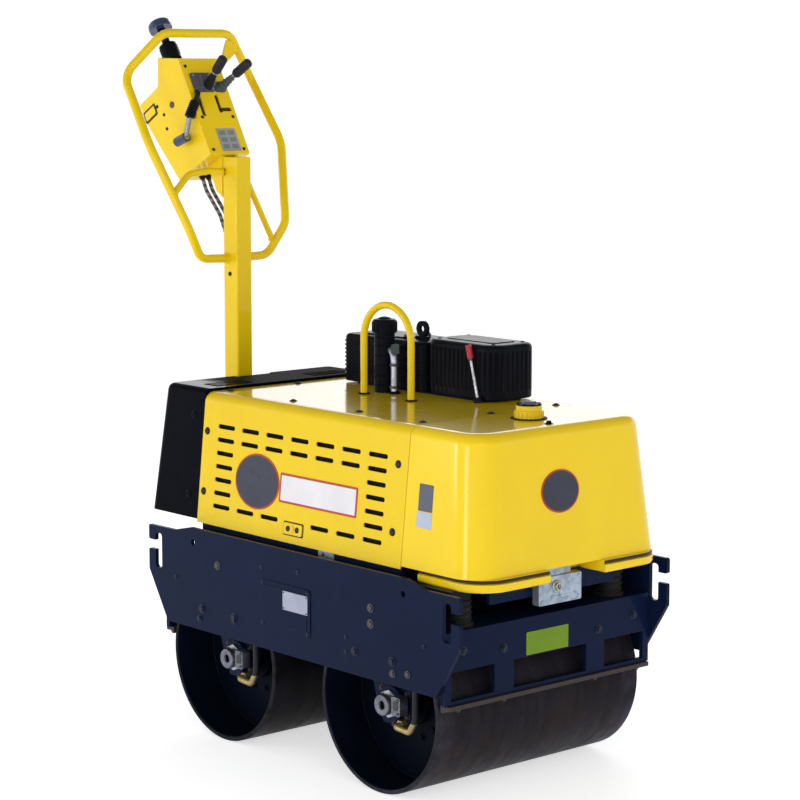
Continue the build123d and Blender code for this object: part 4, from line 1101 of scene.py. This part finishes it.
p = Piece("handle_welds", "drawbar", "yellow")
for s in (-1, 1):
    p.ring((-664, s * 25.8, 1170), (0, 1, 0), 12.0, 2.6, 32, 8)
p.ring((-683.5, -179, 1343), Vector((-17, 63, 52)), 9.6, 2.4, 28, 8)
p.ring((-660, 27.5, 1397), Vector((1, 101, -194)), 8.6, 2.4, 28, 8)
p.ring((-659, 122, 1215.5), Vector((1, 101, -194)), 8.6, 2.4, 28, 8)
p.ring((-673.5, -29, 1396.3), Vector((18, 34, -4)), 9.6, 2.4, 28, 8)
for s in (-1, 1):
    p.bead([(-680.5, s * 17, 1332), (-680.5, s * 17, 1438)], 2.2)
    p.bead([(-680.5, s * 25.5, 1332), (-680.5, s * 25.5, 1438)], 2.2)
# seam where the column meets the head
p.bead([(-679, -25.5, 1441), (-679, 25.5, 1441)], 2.6)
p.done()

# near side of the head: screws, a blank dark tab; panel face: blank plate, lever gate
p = Piece("head_screws", "drawbar", "dark_bolt", "dark_foil_and_shade", "gate_grey", "tank")
for x, z, r in ((-914, 1564, 5.0), (-883, 1543, 4.6), (-870, 1506, 4.6)):
    p.socket_screw((x, -64, z), (0, -1, 0), r, 3.0, 0)
p.lathe([(0, 0), (8.5, 0), (9, 1.0), (8.0, 3.2), (6.5, 4.0), (0, 4.0)], (-846, -64, 1570), (0, -1, 0), 28, 2)
p.prism(rrect(60, 34, 5, 5), (-945, -64, 1545), (0, -1, 0), 0.9, Vector((0.86, 0, 0.5)), bevel=0.3, mat=1)
p.prism(rrect(48, 22, 4, 5), (-945, -64.6, 1545), (0, -1, 0), 1.4, Vector((0.86, 0, 0.5)), bevel=0.5, mat=3)
for x, z in ((-914, 1564), (-883, 1543), (-870, 1506), (-846, 1570), (-760, 1450), (-940, 1520), (-840, 1670)):
    p.socket_screw((x, 64, z), (0, 1, 0), 4.8, 3.0, 0)
p.done()

PN = Vector((249, 0, 140)).normalized()
PU = Vector((-140, 0, 249)).normalized()      # up the panel


def on_panel(y, v, out=0.0):
    return Vector((-677, y, 1443)) + PU * v + PN * out


p = Piece("head_plate", "drawbar", "panel_plate", "panel_mark", "dark_bolt", "dark_foil_and_shade")
p.prism(rrect(62, 66, 3, 3), on_panel(10, 42), PN, 1.2, Vector((0, 1, 0)), bevel=0.4)
for i in range(3):
    for j in range(2):
        p.prism(rrect(20, 13, 2, 3), on_panel(-4 + 28 * j, 22 + 20 * i, 1.0), PN, 0.5, Vector((0, 1, 0)), bevel=0.2, mat=1)
for y in (-50, 50):
    for v in (14, 110, 262):
        p.socket_screw(on_panel(y, v), PN, 4.6, 3.0, 2)
# dark liners deep in the panel's slots: painted shade standing in for the shadow inside the recesses
for y, lv, w, h in ((-40, -120, 11, 103), (18, -136, 11, 53), (33, -153, 41, 11)):
    p.prism(rrect(w, h, 5, 4), on_panel(y, 285.66 + lv, -17.8), PN, 13.5, Vector((0, 1, 0)), bevel=0.8, mat=3)
p.done()

p = Piece("lever_gate", "drawbar", "gate_grey", "steel", "rubber", "alu", "boot_green")
p.prism(rrect(66, 56, 6, 5), on_panel(-14, 212), PN, 5.0, Vector((0, 1, 0)), bevel=1.4, mat=0)
p.prism(rrect(34, 30, 5, 5), on_panel(38, 199), PN, 4.0, Vector((0, 1, 0)), bevel=1.2, mat=4)
# bellows round each lever, along the lever's own direction
for a, b, mt in (((-776, 0, 1618), (-738, 0, 1657), 2), ((-776, 40, 1612), (-716, 48, 1650), 4)):
    a, b = Vector(a), Vector(b)
    d = (b - a).normalized()
    t0 = ((on_panel(0, 0, 4.0) - a).dot(PN)) / d.dot(PN)
    room = (b - a).length - t0
    prof = [(0, -3), (14.5, -3)]
    k = 5
    for i in range(k):
        z = room * 0.92 * i / k
        r = 14.0 - 6.0 * i / k
        prof += [(r, z), (r - 2.6, z + room * 0.92 * 0.5 / k)]
    prof += [(7.4, room * 0.92), (5.3, room * 0.95), (0, room * 0.95)]
    p.lathe(prof, a + d * t0, d, 32, mt)
for y, v in ((-40, 232), (-40, 192), (12, 232), (12, 192)):
    p.hexbolt(on_panel(y, v, 4.8), PN, 7, 3.0, False, 1)
# return spring and link beside the levers
coil = []
for i in range(100):
    t = i / 99
    a = 2 * math.pi * 10 * t
    c = on_panel(20, 236 - 34 * t, 9.0)
    coil.append(c + Vector((0, 1, 0)) * (4.5 * math.cos(a)) + PN * (4.5 * math.sin(a)))
p.tube(coil, 1.1, 8, 1)
p.prism(rrect(8, 40, 3, 4), on_panel(-20, 212, 4.8), PN, 4.0, Vector((0, 1, 0)), bevel=1.0, mat=3)
p.done()


def grip(name, a, b, r, node):
    """Ribbed hand grip with a rounded end, in place of the plain cylinder."""
    a, b = Vector(a), Vector(b)
    L = (b - a).length
    prof = [(0, 0), (r * 0.72, 0), (r * 0.86, 1.2), (r * 0.92, 3)]
    k = int((L - 14) / 5)
    for i in range(k):
        z = 5 + i * (L - 14) / k
        prof += [(r * 0.96, z), (r * 1.0, z + 1.2), (r * 1.0, z + 2.6), (r * 0.93, z + 3.6)]
    for i in range(7):
        t = math.radians(90 * i / 6)
        prof.append((r * 0.98 * math.cos(t) + 0.001, L - 8 + 8 * math.sin(t)))
    prof[-1] = (0, L)
    return prof, a, (b - a).normalized()


p = Piece("travel_grips", "drawbar", "grip", "steel")
for a, b in (((-738, 0, 1657), (-700, 0, 1696)), ((-716, 48, 1650), (-662, 55, 1684))):
    prof, o, n = grip("", a, b, 13.0, "")
    p.lathe(prof, o, n, 36, 0)
    p.lathe([(5.2, -6), (8, -6), (8.4, -4), (8, 0.5), (5.2, 0.5)], o, n, 24, 1)
o = p.done(40)
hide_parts("lever_grips")

# vibration lever: bellows on its upper part, ball knob collar
p = Piece("vibration_boot", "drawbar", "black", "steel")
b0, b1 = Vector((-747.9, -60, 1580)), Vector((-747.9, -60, 1580)) + Vector((0, -30, -60)).normalized() * 46
for i in range(7):
    q = b0.lerp(b1, (i + 0.5) / 7)
    p.ring(q, b1 - b0, 11.0, 3.0, 32, 8, 0)
p.lathe([(0, 0), (9, 0), (9, 4), (0, 4)], (-751.5, -85.8, 1489), (-30, -1.5, -11), 24, 1)
p.done()

# stop button: rim, ribbed skirt and stem nut
AX = Vector((-0.55, 0, 0.835)).normalized()
BC = Vector((-872, -42, 1692))
p = Piece("stop_button_details", "drawbar", "black", "blue", "zinc")
for i in range(30):
    a = 2 * math.pi * i / 30
    u, v, n = basis(AX)
    d = u * math.cos(a) + v * math.sin(a)
    p.prism(rrect(3.0, 12, 1.2, 3), BC + AX * 98 + d * 30.2, d, 1.5, AX, bevel=0.5, mat=1)
p.ring(BC + AX * 91.5, AX, 30.0, 1.4, 48, 8, 1)
for t in (8, 16, 24, 32):
    p.ring(BC + AX * t, AX, 24.0, 1.5, 44, 8, 0)
p.lathe([(0, 0), (15, 0), (15.5, 3), (13, 7), (0, 7)], BC + AX * 39.5, AX, 6, 2)
p.ring(BC + AX * 114.2, AX, 20, 1.0, 40, 8, 0)
p.done()

# column: cable glands at the back, stiffening bosses and plugs at the sides
p = Piece("column_details", "drawbar", "rubber", "dark_bolt", "yellow", "zinc")
for y in (-10, 10):
    p.lathe([(0, 0), (9.5, 0), (9.5, 2), (7, 5), (7.6, 8), (6, 11), (0, 11)], (-679.5, y, 1220.5), Vector((-0.5, 0, 0.86)), 24, 0)
    p.lathe([(0, -4), (8, -4), (8.5, 0), (7, 5), (5.2, 9), (0, 9)], (-789, y, 1380), Vector((18, 0, -37)), 24, 0)
for z in (760, 1130):
    for s in (-1, 1):
        p.socket_screw((-650, s * 25.0, z), (0, s, 0), 6.0, 3.2, 1)
for s in (-1, 1):
    p.lathe([(12.4, 0), (26, 0), (26, 3.5), (24.5, 4.6), (12.4, 4.6)], (-650, s * 25.0, 660), (0, s, 0), 44, 2)
p.done()

# =====================================================================
# CAD nodes that stay: materials by node
# =====================================================================
NODE_MAT = {
    "air_cleaner": "black", "bearing_caps": "steel", "control_cables": "cable", "control_head": "tank", "decompression_grip": "red",
    "decompression_lever": "steel", "drawbar_bracket": "navy", "drawbar_column": "yellow", "drawbar_pin": "steel", "drum_buffers": "rubber",
    "drum_carriers": "navy", "engine_block": "iron", "engine_cowling": "black", "engine_head_cover": "black", "frame_mounts": "rubber",
    "front_bracket": "galv", "front_cross_member": "navy", "rear_cross_member": "navy", "front_drum_axle": "drum_inside",
    "rear_drum_axle": "drum_inside", "front_drum_discs": "drum_inside", "rear_drum_discs": "drum_inside", "front_drum_shell": "drum_front",
    "rear_drum_shell": "drum_rear_painted_shade", "handle_ring": "yellow", "handle_braces": "yellow", "hydraulic_fittings": "fitting", "lever_grips": "grip",
    "lifting_bail": "yellow", "rear_cover": "cover", "scrapers": "scraper", "side_panel_left": "yellow", "side_panel_right": "yellow",
    "side_plate_left": "navy", "side_plate_right": "navy", "stop_button": "blue", "stop_button_base": "black", "tank_cap": "tank",
    "tank_tray": "tank", "top_cover": "yellow", "travel_levers": "steel", "upper_frame": "navy", "vibration_knob": "blue",
    "vibration_lever": "lever", "water_tank": "tank",
}
for name, o in NODES.items():
    m = M[NODE_MAT[name]]
    if not o.data.materials:
        o.data.materials.append(m)
    for i in range(len(o.material_slots)):
        o.material_slots[i].link = "OBJECT"
        o.material_slots[i].material = m

# =====================================================================
# floor, light, camera
# =====================================================================


def floor_material():
    m = Mat("studio_floor")
    c = m.mix(m.ramp(m.noise(1.5, 3.0), 0.3, 0.7), (0.84, 0.84, 0.85), (0.88, 0.88, 0.88))
    m.set(Base_Color=c)
    m.set(Roughness=m.ramp(m.noise(6.0, 3.0), 0.3, 0.7, 0.62, 0.72))
    m.b.inputs["Specular IOR Level"].default_value = 0.1
    m.b.inputs["Emission Color"].default_value = (1.0, 1.0, 1.0, 1.0)
    m.b.inputs["Emission Strength"].default_value = 0.60
    return m.done()


mesh = bpy.data.meshes.new("studio_floor")
bm = bmesh.new()
S = 30.0
vs = [bm.verts.new((x, y, -0.0005)) for x, y in ((-S, -S), (S, -S), (S, S), (-S, S))]
bm.faces.new(vs)
bm.to_mesh(mesh)
bm.free()
mesh.materials.append(floor_material())
floor = bpy.data.objects.new("studio_floor", mesh)
bpy.context.scene.collection.objects.link(floor)

world = bpy.data.worlds.new("studio")
bpy.context.scene.world = world
world.use_nodes = True
wt = world.node_tree
wt.nodes.clear()
wo = wt.nodes.new("ShaderNodeOutputWorld")
bg = wt.nodes.new("ShaderNodeBackground")
gen = wt.nodes.new("ShaderNodeTexCoord")
sep = wt.nodes.new("ShaderNodeSeparateXYZ")
ramp = wt.nodes.new("ShaderNodeValToRGB")
ramp.color_ramp.interpolation = "EASE"
stops = ((0.0, 0.64), (0.045, 0.66), (0.09, 0.95), (0.20, 1.0), (0.45, 0.24), (1.0, 0.20))
for i, (pos, val) in enumerate(stops):
    e = ramp.color_ramp.elements[i] if i < 2 else ramp.color_ramp.elements.new(pos)
    e.position = pos
    e.color = (val * 0.985, val * 0.993, val, 1.0)
wt.links.new(gen.outputs["Generated"], sep.inputs[0])
wt.links.new(sep.outputs[2], ramp.inputs[0])
wt.links.new(ramp.outputs[0], bg.inputs[0])
bg.inputs[1].default_value = 1.62
wt.links.new(bg.outputs[0], wo.inputs[0])


def area(name, loc, target, size, power, colour=(1, 1, 1)):
    d = bpy.data.lights.new(name, "AREA")
    d.shape = "RECTANGLE"
    d.size, d.size_y = size
    d.energy = power
    d.color = colour
    o = bpy.data.objects.new(name, d)
    bpy.context.scene.collection.objects.link(o)
    o.location = loc
    z = (Vector(loc) - Vector(target)).normalized()
    o.rotation_euler = z.to_track_quat("Z", "Y").to_euler()
    return o


area("key", (5.2, -3.2, 3.4), (0, 0, 0.7), (3.0, 2.4), 40)
area("side", (-2.2, -5.0, 2.6), (0, 0, 0.7), (3.0, 2.2), 1)
area("back", (-3.0, 4.0, 3.0), (0, 0, 0.9), (3.0, 2.2), 40)
# two tall narrow panels beside the camera: soft upright lights in the rounded corners
area("strip_a", (1.06, -5.20, 1.05), (0.5, -0.25, 0.7), (1.15, 0.8), 29)
area("strip_b", (-2.60, -4.02, 1.05), (0.5, -0.25, 0.7), (1.00, 0.8), 26)

AZ, EL = math.radians(48.7953), math.radians(7.8123)
back = Vector((math.sin(AZ) * math.cos(EL), -math.cos(AZ) * math.cos(EL), math.sin(EL)))
right = Vector((math.cos(AZ), math.sin(AZ), 0.0))
upv = back.cross(right)
cam_data = bpy.data.cameras.new("camera")
cam_data.sensor_fit = "HORIZONTAL"
cam_data.sensor_width = 36.0
cam_data.lens = 36.0 * 2399.9 / 800.0
cam_data.clip_end = 100.0
cam = bpy.data.objects.new("camera", cam_data)
bpy.context.scene.collection.objects.link(cam)
rot = Matrix((right, upv, back)).transposed()
cam.matrix_world = Matrix.Translation(Vector((4.38770, -3.84182, 1.65970))) @ rot.to_4x4()
bpy.context.scene.camera = cam

bpy.context.scene.view_settings.view_transform = "Standard"
bpy.context.scene.view_settings.look = "None"
bpy.context.scene.view_settings.exposure = 0.0
